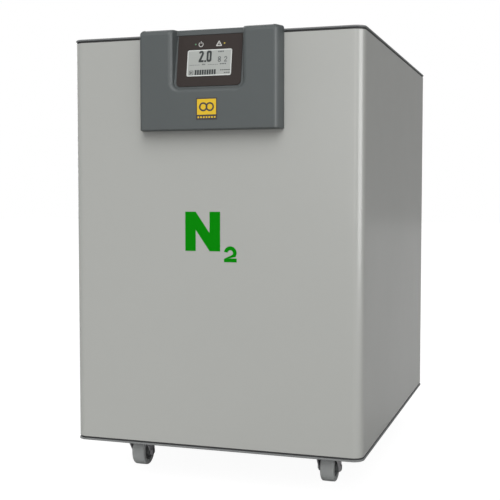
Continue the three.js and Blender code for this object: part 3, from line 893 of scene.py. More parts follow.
class Paint(Enum):
    """Every finish of the generator, named after its material slot where there is one."""

    PANEL = Finish("panel_paint", (0.384, 0.389, 0.369), (0.376, 0.381, 0.361), (0.40, 0.46),
                   coat=0.5, coat_roughness=0.16, mottle_scale=3.0, grain_scale=1400.0,
                   grain_depth=8e-6, dust=0.04)
    LID = Finish("lid_paint", (0.165, 0.172, 0.174), (0.155, 0.162, 0.164), (0.36, 0.45),
                 grain_scale=1100.0, grain_depth=2e-5, wear=0.15, wear_tone=(0.2, 0.2, 0.2), dust=0.1)
    EDGE = Finish("edge_trim", (0.190, 0.196, 0.196), (0.176, 0.182, 0.182), (0.38, 0.46),
                  grain_scale=1100.0, grain_depth=2e-5, wear=0.2, wear_tone=(0.3, 0.3, 0.3))
    # Near-black for the lid gasket and the base pan's edge: a dark seal colour that also paints the shadow
    # in the gaps under the lid and above the base moulding.
    SEAL_AND_GAP_SHADOW = Finish("dark_seal", (0.016, 0.016, 0.017), (0.024, 0.024, 0.025), (0.55, 0.7),
                  grain_scale=1600.0, grain_depth=3e-5)
    CONSOLE = Finish("console_plastic", (0.074, 0.085, 0.086), (0.070, 0.080, 0.081), (0.46, 0.54),
                     grain_scale=2600.0, grain_depth=2e-5, mottle_scale=9.0, wear=0.12,
                     wear_tone=(0.13, 0.145, 0.147), dust=0.04)
    MEMBRANE = Finish("membrane_film", (0.034, 0.026, 0.023), (0.030, 0.023, 0.021), (0.38, 0.46),
                      grain_scale=3500.0, grain_depth=6e-6, specular=0.2)
    LCD_FACE = Finish("lcd_glass", (0.365, 0.380, 0.362), (0.345, 0.360, 0.342), (0.3, 0.36),
                      grain_scale=4000.0, grain_depth=1e-6, coat=0.5, coat_roughness=0.04)
    LCD_RIM = Finish("lcd_rim", (0.60, 0.62, 0.60), (0.57, 0.59, 0.57), (0.35, 0.4),
                     grain_depth=1e-6)
    LCD_INK = Finish("lcd_ink", (0.012, 0.016, 0.016), (0.02, 0.026, 0.026), (0.4, 0.45),
                     grain_depth=1e-6)
    LCD_PALE = Finish("lcd_pale_ink", (0.09, 0.10, 0.10), (0.11, 0.12, 0.12), (0.4, 0.45),
                      grain_depth=1e-6)
    ICON = Finish("icon_print", (0.50, 0.50, 0.48), (0.46, 0.46, 0.44), (0.4, 0.5), grain_depth=4e-6)
    LAMP_GREEN = Finish("green_lamp", (0.10, 0.22, 0.12), (0.08, 0.18, 0.10), (0.25, 0.3),
                        grain_depth=2e-6)
    LAMP_AMBER = Finish("amber_lamp", (0.45, 0.36, 0.06), (0.40, 0.31, 0.05), (0.25, 0.3),
                        grain_depth=2e-6)
    BADGE = Finish("badge_enamel", (0.72, 0.47, 0.004), (0.69, 0.44, 0.004), (0.3, 0.36),
                   grain_scale=2000.0, grain_depth=4e-6, coat=0.3, coat_roughness=0.2)
    BADGE_INK = Finish("badge_ink", (0.035, 0.03, 0.032), (0.045, 0.038, 0.04), (0.34, 0.4),
                       grain_depth=4e-6)
    GREEN = Finish("green_vinyl", (0.0, 0.216, 0.0), (0.0, 0.206, 0.0), (0.4, 0.46),
                   grain_scale=1800.0, grain_depth=8e-6, specular=0.06)
    CASTOR = Finish("castor_steel", (0.60, 0.59, 0.61), (0.52, 0.51, 0.53), (0.36, 0.5), metallic=0.35,
                    mottle_scale=60.0, grain_scale=900.0, grain_depth=3e-5, wear=0.5, dust=0.1)
    TREAD = Finish("castor_tread", (0.50, 0.515, 0.51), (0.45, 0.465, 0.46), (0.5, 0.65),
                   mottle_scale=45.0, grain_scale=1300.0, grain_depth=6e-5)
    CORE = Finish("castor_core", (0.150, 0.155, 0.158), (0.125, 0.130, 0.133), (0.45, 0.55),
                  mottle_scale=45.0, grain_scale=1500.0, grain_depth=3e-5, dust=0.1)
    STEEL = Finish("bright_steel", (0.55, 0.55, 0.56), (0.46, 0.46, 0.47), (0.22, 0.36), metallic=1.0,
                   mottle_scale=80.0, grain_scale=2200.0, grain_depth=1e-5)
    ZINC = Finish("zinc_steel", (0.52, 0.53, 0.54), (0.40, 0.41, 0.42), (0.3, 0.45), metallic=1.0,
                  mottle_scale=40.0, grain_scale=400.0, grain_depth=1e-5)
    BLACK = Finish("black_plastic", (0.016, 0.016, 0.017), (0.021, 0.021, 0.022), (0.42, 0.52),
                   grain_scale=2000.0, grain_depth=3e-5, wear=0.15, wear_tone=(0.06, 0.06, 0.06))
    SWITCH = Finish("switch_plastic", (0.012, 0.012, 0.013), (0.016, 0.016, 0.017), (0.2, 0.28),
                    grain_scale=2000.0, grain_depth=6e-6)
    FAN = Finish("fan_plastic", (0.02, 0.02, 0.021), (0.026, 0.026, 0.027), (0.38, 0.48),
                 grain_scale=1500.0, grain_depth=2e-5, dust=0.3)
    WIRE = Finish("guard_wire", (0.62, 0.62, 0.63), (0.55, 0.55, 0.56), (0.14, 0.24), metallic=1.0,
                  mottle_scale=90.0, grain_depth=4e-6)
    BRASS = Finish("brass_fitting", (0.62, 0.44, 0.19), (0.52, 0.35, 0.14), (0.2, 0.34), metallic=1.0,
                   mottle_scale=110.0, grain_scale=2600.0, grain_depth=1e-5)
    CAST = Finish("cast_aluminium", (0.46, 0.47, 0.48), (0.38, 0.39, 0.40), (0.45, 0.6), metallic=0.9,
                  mottle_scale=30.0, grain_scale=500.0, grain_depth=1e-4)
    SEPARATOR = Finish("separator_aluminium", (0.42, 0.43, 0.44), (0.36, 0.37, 0.38), (0.3, 0.4),
                       metallic=0.95, grain_scale=1500.0, grain_depth=1e-5)
    MANIFOLD = Finish("manifold_aluminium", (0.52, 0.53, 0.54), (0.46, 0.47, 0.48), (0.24, 0.36),
                      metallic=1.0, grain_scale=1800.0, grain_depth=2e-5, brushed=(0.04, 1.0, 1.0))
    COLUMN = Finish("column_aluminium", (0.55, 0.56, 0.57), (0.48, 0.49, 0.50), (0.22, 0.34), metallic=1.0,
                    grain_scale=1800.0, grain_depth=2e-5, brushed=(1.0, 1.0, 0.03))
    TANK = Finish("tank_paint", (0.045, 0.070, 0.100), (0.038, 0.060, 0.088), (0.34, 0.44),
                  grain_scale=900.0, grain_depth=4e-5, wear=0.3)
    COPPER = Finish("copper_pipe", (0.58, 0.26, 0.14), (0.44, 0.19, 0.10), (0.24, 0.4), metallic=1.0,
                    mottle_scale=50.0, grain_scale=1800.0, grain_depth=1e-5)
    TUBE = Finish("gas_tube", (0.03, 0.15, 0.42), (0.025, 0.13, 0.38), (0.3, 0.38), grain_depth=5e-6)
    RUBBER = Finish("isolator_rubber", (0.016, 0.016, 0.016), (0.024, 0.024, 0.024), (0.6, 0.75),
                    grain_scale=1200.0, grain_depth=4e-5)
    BOARD = Finish("circuit_board", (0.012, 0.11, 0.04), (0.01, 0.09, 0.035), (0.3, 0.4), grain_scale=2600.0,
                   grain_depth=2e-5)


class Workshop:
    """Dresses pieces and hangs them on their bodies, with one material for each finish."""

    def __init__(self, effects: Effects, nodes: dict[str, Object]) -> None:
        """Starts with no material and no piece.

        Args:
            effects: the shared shader groups.
            nodes: the frame's CAD nodes.
        """
        self.effects = effects
        self.nodes = nodes
        self.materials: dict[Paint, Material] = {}
        self.replaced: dict[str, Paint] = {}
        self.made = 0

    def material(self, paint: Paint) -> Material:
        """The material of a finish, made on first use.

        Args:
            paint: the finish.

        Returns:
            Its material.
        """
        if paint not in self.materials:
            self.materials[paint] = paint.value.material(self.effects)
        return self.materials[paint]

    def dress(self, obj: Object, paint: Paint) -> None:
        """Gives the whole object one finish."""
        obj.data.materials.clear()
        obj.data.materials.append(self.material(paint))

    def place(self, obj: Object, paint: Paint, body: str = "root", slot: str | None = None,
              replaces: Sequence[str] = ()) -> Object:
        """Finishes a new piece.

        Args:
            obj: the piece, at the origin.
            paint: its finish.
            body: the CAD body that it moves with.
            slot: the record's material slot, where it has one. It is not used.
            replaces: the CAD nodes that it stands for.

        Returns:
            The same object.
        """
        self.dress(obj, paint)
        even_normals(obj)
        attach(obj, body)
        if replaces:
            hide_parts(*replaces)
            self.replaced.update({node: paint for node in replaces})
        self.made += 1
        log.info("%s rides on %s, %d faces", obj.name, body, len(obj.data.polygons))
        return obj

    def dress_carried(self) -> None:
        """Gives every CAD node the finish of the piece that stands for it."""
        for name, node in self.nodes.items():
            self.dress(node, self.replaced[name])


# ---------- cabinet shell


@dataclass
class Cabinet:
    """Lid, gasket, base moulding, the sheet panels and their screws."""

    shop: Workshop
    corner: float = 17.4 * MM
    sheet: float = 1.5 * MM
    lip: float = 0.35 * MM
    corner_steps: int = 20
    edge_round: float = 1.5 * MM
    base_band: float = 17 * MM
    gasket_band: float = 13 * MM
    screw_x: float = 225 * MM
    screw_rows: int = 5
    screw_inset: float = 22 * MM

    def build(self) -> None:
        """Makes every shell piece."""
        self.lid()
        self.gasket()
        self.base()
        self.front_panel()
        self.side_panel("left_side_panel", -1)
        self.side_panel("right_side_panel", 1)
        self.rear_panel()
        self.rear_screws()

    def outline(self, node: str, radius: float) -> Array:
        """The plan of a node's box with rounded corners."""
        low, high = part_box(node)
        return rounded_rectangle(high.x - low.x, high.y - low.y, radius, self.corner_steps)

    def lid(self) -> None:
        """The lid: a plate whose edge is nearly half round."""
        low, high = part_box("top_lid")
        outline = self.outline("top_lid", self.corner + 1 * MM)
        rows = eased_edge(low.z, high.z, self.edge_round, 6)
        draft = MeshDraft("lid_moulding").grid(walled(outline, rows, WORLD), caps=True)
        self.shop.place(draft.build(), Paint.LID, slot="lid_paint", replaces=["top_lid"])

    def gasket(self) -> None:
        """The band under the lid, slightly hollow outside; its near-black also paints the gap's shadow."""
        self.ring("lid_gasket", "top_gasket", self.gasket_band, Paint.SEAL_AND_GAP_SHADOW, "dark_seal", 0.3 * MM, 0.3 * MM)

    def base(self) -> None:
        """The base moulding, rounded outside, and the pan whose near-black edge shows above it as painted
        shadow of the gap.
        """
        self.ring("base_moulding", "base_trim", self.base_band, Paint.EDGE, "edge_trim", self.edge_round)
        low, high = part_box("base_pan")
        outline = self.outline("base_pan", self.corner - 0.6 * MM)
        pan = MeshDraft("base_tray").slab(outline, low.z, high.z, edge=0.3 * MM).build()
        self.shop.place(pan, Paint.SEAL_AND_GAP_SHADOW, slot="dark_seal", replaces=["base_pan"])

    def ring(self, name: str, node: str, width: float, paint: Paint, slot: str, edge: float,
             hollow: float = 0.0) -> None:
        """A closed band that follows the cabinet's plan.

        Its section goes out along the foot, up the outer face, which may be hollow, back along the head and
        down inside.

        Args:
            name: the piece's name.
            node: the CAD node it replaces.
            width: its width in plan.
            paint: its finish.
            slot: its material slot.
            edge: its corners' rounding.
            hollow: the outer face's sag.
        """
        low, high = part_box(node)
        outline = self.outline(node, self.corner + high.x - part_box("front_panel")[1].x)
        half_way = (low.z + high.z) / 2
        corners = [(width, low.z), (0.0, low.z), (hollow, half_way), (0.0, high.z), (width, high.z)]
        rows = np.concatenate([softened(corners, edge, 5), [(width, low.z)]])
        self.shop.place(MeshDraft(name).grid(walled(outline, rows, WORLD)).build(), paint, slot=slot,
                        replaces=[node])

    def front_panel(self) -> None:
        """The front sheet, rolled round both upright corners: its plan is the outer skin, then the inner."""
        low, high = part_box("front_panel")
        x, y = high.x - self.corner, self.corner + low.y
        outer, inner = (
            np.concatenate([arc((-x, y), radius, 180, 270, self.corner_steps),
                            arc((x, y), radius, 270, 360, self.corner_steps)])
            for radius in (self.corner, self.corner - self.sheet))
        plan = np.concatenate([outer, inner[::-1]])
        rows = eased_edge(low.z, high.z, self.lip, 2)
        panel = MeshDraft("front_sheet").grid(walled(plan, rows, WORLD), caps=True).build()
        self.shop.place(panel, Paint.PANEL, slot="panel_paint", replaces=["front_panel"])

    def side_panel(self, node: str, side: int) -> None:
        """A side sheet: a flat skin whose front and rear edges turn inwards with a small bend.

        Args:
            node: the CAD node it replaces.
            side: -1 for left, 1 for right.
        """
        low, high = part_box(node)
        face, back, half = (high.x, low.x, high.y) if side > 0 else (-low.x, -high.x, high.y)
        skin = softened([(back, -half), (face, -half), (face, half), (back, half)], 0.8 * MM, 4)
        inner = [(back, half - self.sheet), (face - self.sheet, half - self.sheet),
                 (face - self.sheet, -half + self.sheet), (back, -half + self.sheet)]
        plan = np.concatenate([skin, inner])
        if side < 0:
            plan = (plan * (-1.0, 1.0))[::-1]
        rows = eased_edge(low.z, high.z, self.lip, 2)
        panel = MeshDraft(f"{node}_sheet").grid(walled(plan, rows, WORLD), caps=True).build()
        self.shop.place(panel, Paint.PANEL, slot="panel_paint", replaces=[node])

    def rear_panel(self) -> None:
        """The rear sheet with its openings, as a copy of the frame's own."""
        panel = refined_copy(self.shop.nodes["rear_panel"], "rear_sheet", 0.25 * MM)
        self.shop.place(panel, Paint.PANEL, slot="panel_paint", replaces=["rear_panel"])

    def rear_screws(self) -> None:
        """Two columns of screws that hold the rear sheet to the corner posts."""
        low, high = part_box("rear_panel")
        draft = MeshDraft("rear_panel_screws")
        for x in (-self.screw_x, self.screw_x):
            for z in np.linspace(low.z + self.screw_inset, high.z - self.screw_inset, self.screw_rows):
                draft.cross_screw(pose(Facing.REAR, (x, high.y, z)))
        self.shop.place(draft.build(), Paint.STEEL, slot="bright_steel")


# ---------- console


@dataclass
class Console:
    """The display console: its moulding, and the display's own tilted frame."""

    shop: Workshop
    front_half: float = 113 * MM
    back_half: float = 122 * MM
    flank: float = 4 * MM
    wall: float = 2.5 * MM
    touch: float = 0.3 * MM
    shoulder_round: float = 10 * MM
    flank_round: float = 4.5 * MM
    bar_round: float = 2 * MM
    foot_round: float = 1.8 * MM
    mouth_half: float = 67 * MM
    mouth_round: float = 7.5 * MM
    mouth_corner: float = 18.5 * MM
    mouth_drop: float = 10.1 * MM
    wall_slope: float = 6.0
    wall_span: float = 3.5 * MM
    corner_span: float = 9 * MM
    pull_in: float = 3.5 * MM
    pull_back: float = 2.6 * MM
    lid_gap: float = 1 * MM
    lid_reach: float = 2 * MM
    low_proud: float = 18 * MM
    high_proud: float = 5 * MM
    membrane_height: float = 84.2 * MM
    membrane_thickness: float = 1.2 * MM
    low: Vector = field(init=False)
    high: Vector = field(init=False)
    membrane_low: Vector = field(init=False)
    membrane_high: Vector = field(init=False)
    panel_y: float = field(init=False)
    proud: float = field(init=False)
    tilt: float = field(init=False)

    def __post_init__(self) -> None:
        """Reads the frame's boxes and works out the membrane's lean."""
        self.low, self.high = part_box("console_housing")
        self.membrane_low, self.membrane_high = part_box("membrane_panel")
        self.panel_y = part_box("front_panel")[0].y
        self.proud = self.panel_y - self.low.y
        self.tilt = math.asin((self.low_proud - self.high_proud) / self.membrane_height)

    def display_frame(self) -> Array:
        """The place of the membrane's face: u to the right, v up its slope, w out of it, from its middle.

        Returns:
            The frame's matrix.
        """
        reach = self.membrane_height / 2
        y = self.membrane_low.y + reach * math.sin(self.tilt)
        z = self.membrane_high.z - reach * math.cos(self.tilt)
        return pose(Facing.FRONT, (0.0, y, z), -self.tilt)

    def plan(self) -> tuple[Array, Array]:
        """The plan profile from left to right as (x, proud) points, with its outward normals.

        Each side is a short straight flank and a quadratic curve. The flat face lies between them.

        Returns:
            The points, and a normal for each.
        """
        start = np.array([self.back_half, self.flank])
        pull = np.array([self.back_half - self.pull_in, self.proud - self.pull_back])
        end = np.array([self.front_half, self.proud])
        share = np.linspace(0, 1, 17)[1:, None]
        side = (1 - share) ** 2 * start + 2 * share * (1 - share) * pull + share ** 2 * end
        right = np.concatenate([[(self.back_half, self.touch)], [start], side])
        face = self.face_columns()
        face = np.stack([face, np.full(len(face), self.proud)], axis=-1)
        points = np.concatenate([right * (-1.0, 1.0), face, right[::-1]])
        slope = np.gradient(points, axis=0)
        normal = np.stack([-slope[:, 1], slope[:, 0]], axis=-1)
        return points, normal / np.linalg.norm(normal, axis=1, keepdims=True)

    def face_columns(self) -> Array:
        """Where the face's columns stand, close together across the recess's rounded mouth and its walls.

        Returns:
            The columns' x, from left to right.
        """
        shoulder = np.linspace(self.front_half, self.mouth_half, 16)[1:-1]
        mouth = self.mouth_half - self.mouth_round * np.sin(np.radians(np.linspace(0, 90, 16)))
        wall = np.linspace(mouth[-1], mouth[-1] - self.wall_span, 10)[1:]
        corner = np.linspace(wall[-1], wall[-1] - self.corner_span, 16)[1:]
        middle_part = np.linspace(corner[-1], 0, 12)[1:]
        half = np.concatenate([shoulder, mouth, wall, corner, middle_part])
        return np.concatenate([-half, half[::-1][1:]])

    def heights(self) -> Array:
        """Where the rows stand, close together at the recess's lower mouth and the bar over the membrane.

        Returns:
            The rows' z, from the foot up.
        """
        sill, step = self.membrane_low.z, self.membrane_high.z
        stops = [(self.low.z + self.foot_round, 1), (sill - 12 * MM, 14), (sill + 2 * MM, 36),
                 (sill + 12 * MM, 16), (step - 1 * MM, 14), (step + 0.8 * MM, 14),
                 (self.high.z - self.shoulder_round, 2)]
        counts = {round(z, 6): count for z, count in stops if z <= self.high.z - self.bar_round}
        ordered = sorted(counts)
        parts = [np.array(ordered[:1])]
        for low, high in zip(ordered[:-1], ordered[1:]):
            parts.append(np.linspace(low, high, counts[high] + 1)[1:])
        return np.concatenate(parts)

    def depth(self, x: Array, z: Array) -> Array:
        """How far the recess cuts back from the face at (x, z).

        inside is the distance inside the mouth, a U with round lower corners. The cut is a quarter circle
        of the mouth's rounding and then a steep wall, and a soft minimum holds it at the tilted floor, or at
        the bar over the membrane.

        Args:
            x: across.
            z: the height.

        Returns:
            The depth, 0 outside the mouth.
        """
        radius = self.mouth_corner
        dx = np.abs(x) - (self.mouth_half - radius)
        dz = (self.membrane_low.z - self.mouth_drop + radius) - z
        beyond = np.hypot(np.maximum(dx, 0), np.maximum(dz, 0)) + np.minimum(np.maximum(dx, dz), 0)
        inside = np.maximum(radius - beyond, 0)
        bend = self.mouth_round
        rounding = bend - np.sqrt(np.maximum(bend ** 2 - np.minimum(inside, bend) ** 2, 0))
        cut = rounding + self.wall_slope * np.maximum(inside - bend, 0)
        slope = math.tan(self.tilt)
        floor = self.low_proud - (z - self.membrane_low.z) * slope - self.membrane_thickness - self.touch
        bar = np.clip((z - self.membrane_high.z - 0.1 * MM) / (0.5 * MM), 0, 1)
        floor = floor * (1 - bar) + (self.high_proud + 0.2 * MM) * bar
        limit = self.proud - floor
        soft = 0.4 * MM
        blend = np.clip(0.5 + 0.5 * (limit - cut) / soft, 0, 1)
        return np.maximum(limit * (1 - blend) + cut * blend - soft * blend * (1 - blend), 0)

    def skin(self) -> Array:
        """The outer surface as rows of (x, proud, z): the foot's rounding, the face, the head's rounding.

        At the head a point moves back along its plan normal by r (1 - cos a) and up to r (1 - sin a) under
        the top, where r falls from the shoulders' to the bar's as the recess gets deeper.

        Returns:
            The rows, from the foot up.
        """
        plan, normal = self.plan()
        rise = self.heights()
        on_face = np.abs(plan[:, 0]) < self.front_half
        cut = np.where(on_face[None], self.depth(plan[None, :, 0], rise[:, None]), 0.0)
        x = np.broadcast_to(plan[None, :, 0], cut.shape)
        z = np.broadcast_to(rise[:, None], cut.shape)
        face = np.stack([x, plan[None, :, 1] - cut, z], axis=-1)
        sunk = cut[-1] / cut[-1].max()
        head = self.flank_round + (self.shoulder_round - self.flank_round) * np.abs(normal[:, 1])
        head = head * (1 - sunk) + self.bar_round * sunk
        foot = np.full(len(plan), self.foot_round)
        return np.concatenate([
            self.turn_over(face[0], normal, foot, self.low.z, -1)[::-1], face,
            self.turn_over(face[-1], normal, head, self.high.z, 1)])

    @staticmethod
    def turn_over(edge: Array, normal: Array, radius: Array, end_z: float, way: int) -> Array:
        """Rows of the quarter circle that turns a row back towards the cabinet at end_z.

        Args:
            edge: the row.
            normal: each point's outward normal in plan.
            radius: each point's rounding.
            end_z: where the rounding ends.
            way: 1 at the head and -1 at the foot.

        Returns:
            The rows, from the edge on.
        """
        turn = np.radians(np.linspace(0, 90, 9))[:, None]
        inset = radius * (1 - np.cos(turn))
        z = end_z - way * radius * (1 - np.sin(turn))
        z = np.maximum(z, edge[:, 2]) if way > 0 else np.minimum(z, edge[:, 2])
        return np.stack([edge[:, 0] - inset * normal[:, 0], edge[:, 1] - inset * normal[:, 1], z], axis=-1)

    def housing(self) -> None:
        """The moulding as a closed shell: the outer skin, the same skin moved in by the wall, and a rim."""
        normal = self.plan()[1]
        skin = self.skin()
        lid_clear = self.panel_y - self.high.y + self.lid_gap
        over_lid = skin[:, 0, 2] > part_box("top_gasket")[0].z - self.lid_reach
        back = np.where(over_lid, lid_clear, self.touch)[:, None]
        skin[..., 1] = np.maximum(skin[..., 1], back)
        inner = skin.copy()
        inner[..., 0] -= self.wall * normal[:, 0]
        inner[..., 1] = np.maximum(skin[..., 1] - self.wall * np.abs(normal[:, 1]), back)
        inner[..., 2] = np.clip(skin[..., 2], self.low.z + self.wall, self.high.z - self.wall)
        sheets = []
        for sheet in (skin, inner):
            ends = [sheet[:1].copy(), sheet[-1:].copy()]
            for end, rim in zip(ends, (back[0], back[-1])):
                end[..., 1] = rim
            sheets.append(self.outwards(np.concatenate([ends[0], sheet, ends[1]])))
        outer, inside = sheets
        draft = MeshDraft("console_moulding").grid(np.concatenate([outer, inside[:, ::-1]], axis=1))
        draft.grid(np.stack([outer[0], inside[0]]), wrap=False)
        draft.grid(np.stack([outer[-1], inside[-1]]), wrap=False)
        self.shop.place(draft.build(40), Paint.CONSOLE, slot="console_plastic", replaces=["console_housing"])

    def outwards(self, local: Array) -> Array:
        """(x, proud, z) points in the world."""
        return np.stack([local[..., 0], self.panel_y - local[..., 1], local[..., 2]], axis=-1)


@dataclass(frozen=True)
class DashRow:
    """A row of dashes on the display.

    It runs between two shares of the face's width, at a share of its height from the top.
    """

    start: float
    end: float
    down: float
    dash: float
    gap: float
    height: float


STATUS_ROWS = (
    DashRow(0.75, 0.975, 0.79, 2.6 * MM, 0.9 * MM, 1.3 * MM),
    DashRow(0.84, 0.975, 0.89, 2.6 * MM, 0.9 * MM, 1.3 * MM),
)
LABEL_ROWS = (
    DashRow(0.06, 0.31, 0.575, 2.2 * MM, 0.8 * MM, 0.7 * MM),
    DashRow(0.47, 0.70, 0.575, 2.2 * MM, 0.8 * MM, 0.7 * MM),
    DashRow(0.34, 0.42, 0.56, 1.4 * MM, 0.7 * MM, 2.2 * MM),
    DashRow(0.74, 0.88, 0.56, 2.0 * MM, 0.8 * MM, 1.9 * MM),
    DashRow(0.69, 0.82, 0.10, 1.8 * MM, 0.7 * MM, 2.2 * MM),
)


@dataclass
class Display:
    """The membrane, the display in its window, the lamps and the printed symbols."""

    shop: Workshop
    frame: Array
    width: float = 110 * MM
    height: float = 84.2 * MM
    thickness: float = 1.2 * MM
    corner: float = 7 * MM
    window_width: float = 76.5 * MM
    window_height: float = 43.9 * MM
    window_drop: float = 3.95 * MM
    window_corner: float = 3 * MM
    border: float = 2.0 * MM
    sunk: float = 0.3 * MM
    print_height: float = 0.08 * MM
    lamp_v: float = 27 * MM
    lamp_u: float = 24.7 * MM
    symbol_u: float = 15.4 * MM
    symbol_line: float = 1.1 * MM
    power_radius: float = 3.6 * MM
    lamp_radius: float = 1.4 * MM
    lamp_height: float = 0.5 * MM
    large_figure: tuple[float, float, float] = (8.6 * MM, 19.0 * MM, 3.4 * MM)
    small_figure: tuple[float, float, float] = (5.2 * MM, 8.8 * MM, 1.35 * MM)
    status_bars: int = 9
    status_bar: tuple[float, float] = (3.1 * MM, 8.2 * MM)
    status_step: float = 4.1 * MM

    def build(self) -> None:
        """Makes every display piece."""
        self.membrane()
        self.screen()
        self.dark_marks()
        self.pale_marks()
        self.symbols()
        self.lamps()

    def window(self, grow: float) -> Array:
        """The window's outline, grown all round."""
        return rounded_rectangle(self.window_width + 2 * grow, self.window_height + 2 * grow,
                                 self.window_corner + grow, 8, (0.0, -self.window_drop))

    def membrane(self) -> None:
        """The film: round lower corners, nearly square upper ones, and the window cut out."""
        x, y, small = self.width / 2, self.height / 2, 0.6 * MM
        outline = np.concatenate([
            arc((x - small, y - small), small, 0, 90, 8), arc((small - x, y - small), small, 90, 180, 8),
            arc((self.corner - x, self.corner - y), self.corner, 180, 270, 8),
            arc((x - self.corner, self.corner - y), self.corner, 270, 360, 8)])
        film = MeshDraft("membrane_film").hoop(
            outline, self.window(0.0), -self.thickness, 0.0, self.frame, 0.25 * MM)
        self.shop.place(film.build(), Paint.MEMBRANE, slot="membrane_film", replaces=["membrane_panel"])

    def screen(self) -> None:
        """The display's face with its pale border."""
        face = MeshDraft("display_face").slab(
            self.window(-0.3 * MM), -self.thickness - 0.2 * MM, -self.sunk, self.frame, 0.1 * MM)
        self.shop.place(face.build(), Paint.LCD_FACE, slot="lcd_glass", replaces=["lcd_module"])
        rim = MeshDraft("display_border").hoop(
            self.window(-0.4 * MM), self.window(-self.border), -self.sunk, self.print_height - self.sunk,
            self.frame)
        self.shop.place(rim.build(), Paint.LCD_RIM, slot="lcd_glass")

    def marks(self, name: str, outlines: Iterable[Array], paint: Paint,
              rings: Iterable[tuple[Array, Array]] = ()) -> None:
        """Prints outlines on the display's face. Places are from the middle of the window.

        Args:
            name: the piece's name.
            outlines: solid shapes.
            paint: the ink.
            rings: pairs of outer and inner outlines.
        """
        draft = MeshDraft(name)
        shift = np.array([0.0, -self.window_drop])
        low, high = -self.sunk, self.print_height - self.sunk
        for outline in outlines:
            draft.slab(outline + shift, low, high, self.frame)
        for outer, inner in rings:
            draft.hoop(outer + shift, inner + shift, low, high, self.frame)
        self.shop.place(draft.build(), paint, slot="lcd_glass")

    def place(self, across: float, down: float) -> tuple[float, float]:
        """A place on the face from shares of its width and height, counted from the upper left corner."""
        return ((across - 0.5) * self.window_width, (0.5 - down) * self.window_height)

    def dashes(self, row: DashRow) -> list[Array]:
        """The outlines of a row's dashes.

        Args:
            row: the row.

        Returns:
            The outlines.
        """
        left, y = self.place(row.start, row.down)
        right = self.place(row.end, row.down)[0]
        step = row.dash + row.gap
        count = max(int((right - left + row.gap) / step), 1)
        return [rectangle(left + index * step, y - row.height / 2, row.dash, row.height)
                for index in range(count)]

    @staticmethod
    def band(size: Sequence[float], weight: float, corners: Sequence[float], centre: Array
             ) -> tuple[Array, Array]:
        """The outer and inner outlines of a rectangular band of one weight, with round corners.

        Args:
            size: its width and height.
            weight: the band's width.
            corners: outer and inner radius.
            centre: its middle.

        Returns:
            The two outlines.
        """
        inside = [length - 2 * weight for length in size]
        return (rounded_rectangle(*size, corners[0], 8, centre),
                rounded_rectangle(*inside, corners[1], 8, centre))

    def dark_marks(self) -> None:
        """The large figures, the row of status bars, the dashes beside it and the framed arrow."""
        left, base = self.place(0.26, 0.475)
        figure = self.large_figure
        outlines = [figure_two(left, base, *figure)]
        outlines.append(rectangle(left + 9.7 * MM, base, 3.2 * MM, 3.2 * MM))
        zero = np.array([left + 13.4 * MM + figure[0] / 2, base + figure[1] / 2])
        rings = [self.band(figure[:2], figure[2], (3.9 * MM, 1.5 * MM), zero)]
        x, y = self.place(0.185, 0.945)
        for index in range(self.status_bars):
            outlines.append(rectangle(x + index * self.status_step, y, *self.status_bar))
        for row in STATUS_ROWS:
            outlines += self.dashes(row)
        square = np.array(self.place(0.105, 0.86))
        rings.append(self.band((7 * MM, 7 * MM), 0.7 * MM, (0.8 * MM, 0.3 * MM), square))
        outlines.append(np.array([(-1.6, -1.9), (2.1, 0.0), (-1.6, 1.9)]) * MM + square)
        self.marks("display_figures", outlines, Paint.LCD_INK, rings)

    def pale_marks(self) -> None:
        """The small figures, the dashed line and the small dashes, in pale ink."""
        x, base = self.place(0.69, 0.485)
        size = self.small_figure
        outlines = [figure_two(x + 10.6 * MM, base, *size)]
        rings = []
        for rise in (0.25, 0.75):
            centre = np.array([x + size[0] / 2, base + rise * size[1]])
            rings.append(self.band((size[0], size[1] / 2), size[2], (1.9 * MM, 0.9 * MM), centre))
        for row in LABEL_ROWS:
            outlines += self.dashes(row)
        self.marks("display_small_marks", outlines, Paint.LCD_PALE, rings)

    def symbols(self) -> None:
        """The printed power and alarm symbols above the display."""
        draft = MeshDraft("membrane_symbols")
        low, high, line = 0.0, self.print_height, self.symbol_line
        centre = np.array([-self.symbol_u, self.lamp_v - 0.6 * MM])
        ring = np.concatenate([arc(centre, self.power_radius + line / 2, 120, 420, 28),
                               arc(centre, self.power_radius - line / 2, 420, 120, 28)])
        draft.slab(ring, low, high, self.frame)
        stroke = rectangle(centre[0] - line / 2, centre[1] + 1.3 * MM, line, 4.0 * MM)
        draft.slab(stroke, low, high, self.frame)
        centre = np.array([self.symbol_u, self.lamp_v])
        outer = self.triangle(5.6 * MM, 1.0 * MM) + centre - (0, 1.2 * MM)
        inner = self.triangle(3.1 * MM, 0.3 * MM) + centre - (0, 1.2 * MM)
        draft.hoop(outer, inner, low, high, self.frame)
        stroke = rectangle(centre[0] - 0.45 * MM, centre[1] - 1.9 * MM, 0.9 * MM, 2.3 * MM)
        draft.slab(stroke, low, high, self.frame)
        self.shop.place(draft.build(), Paint.ICON, slot="membrane_film")

    @staticmethod
    def triangle(reach: float, radius: float) -> Array:
        """An upright triangle whose corners are arcs of a third of a circle each.

        Args:
            reach: from the middle to a corner.
            radius: the corners' radius.

        Returns:
            The outline about the origin.
        """
        corners = []
        for angle in (90, 210, 330):
            centre = arc((0, 0), reach - radius, angle, angle, 0)[0]
            corners.append(arc(centre, radius, angle - 60, angle + 60, 8))
        return np.concatenate(corners)

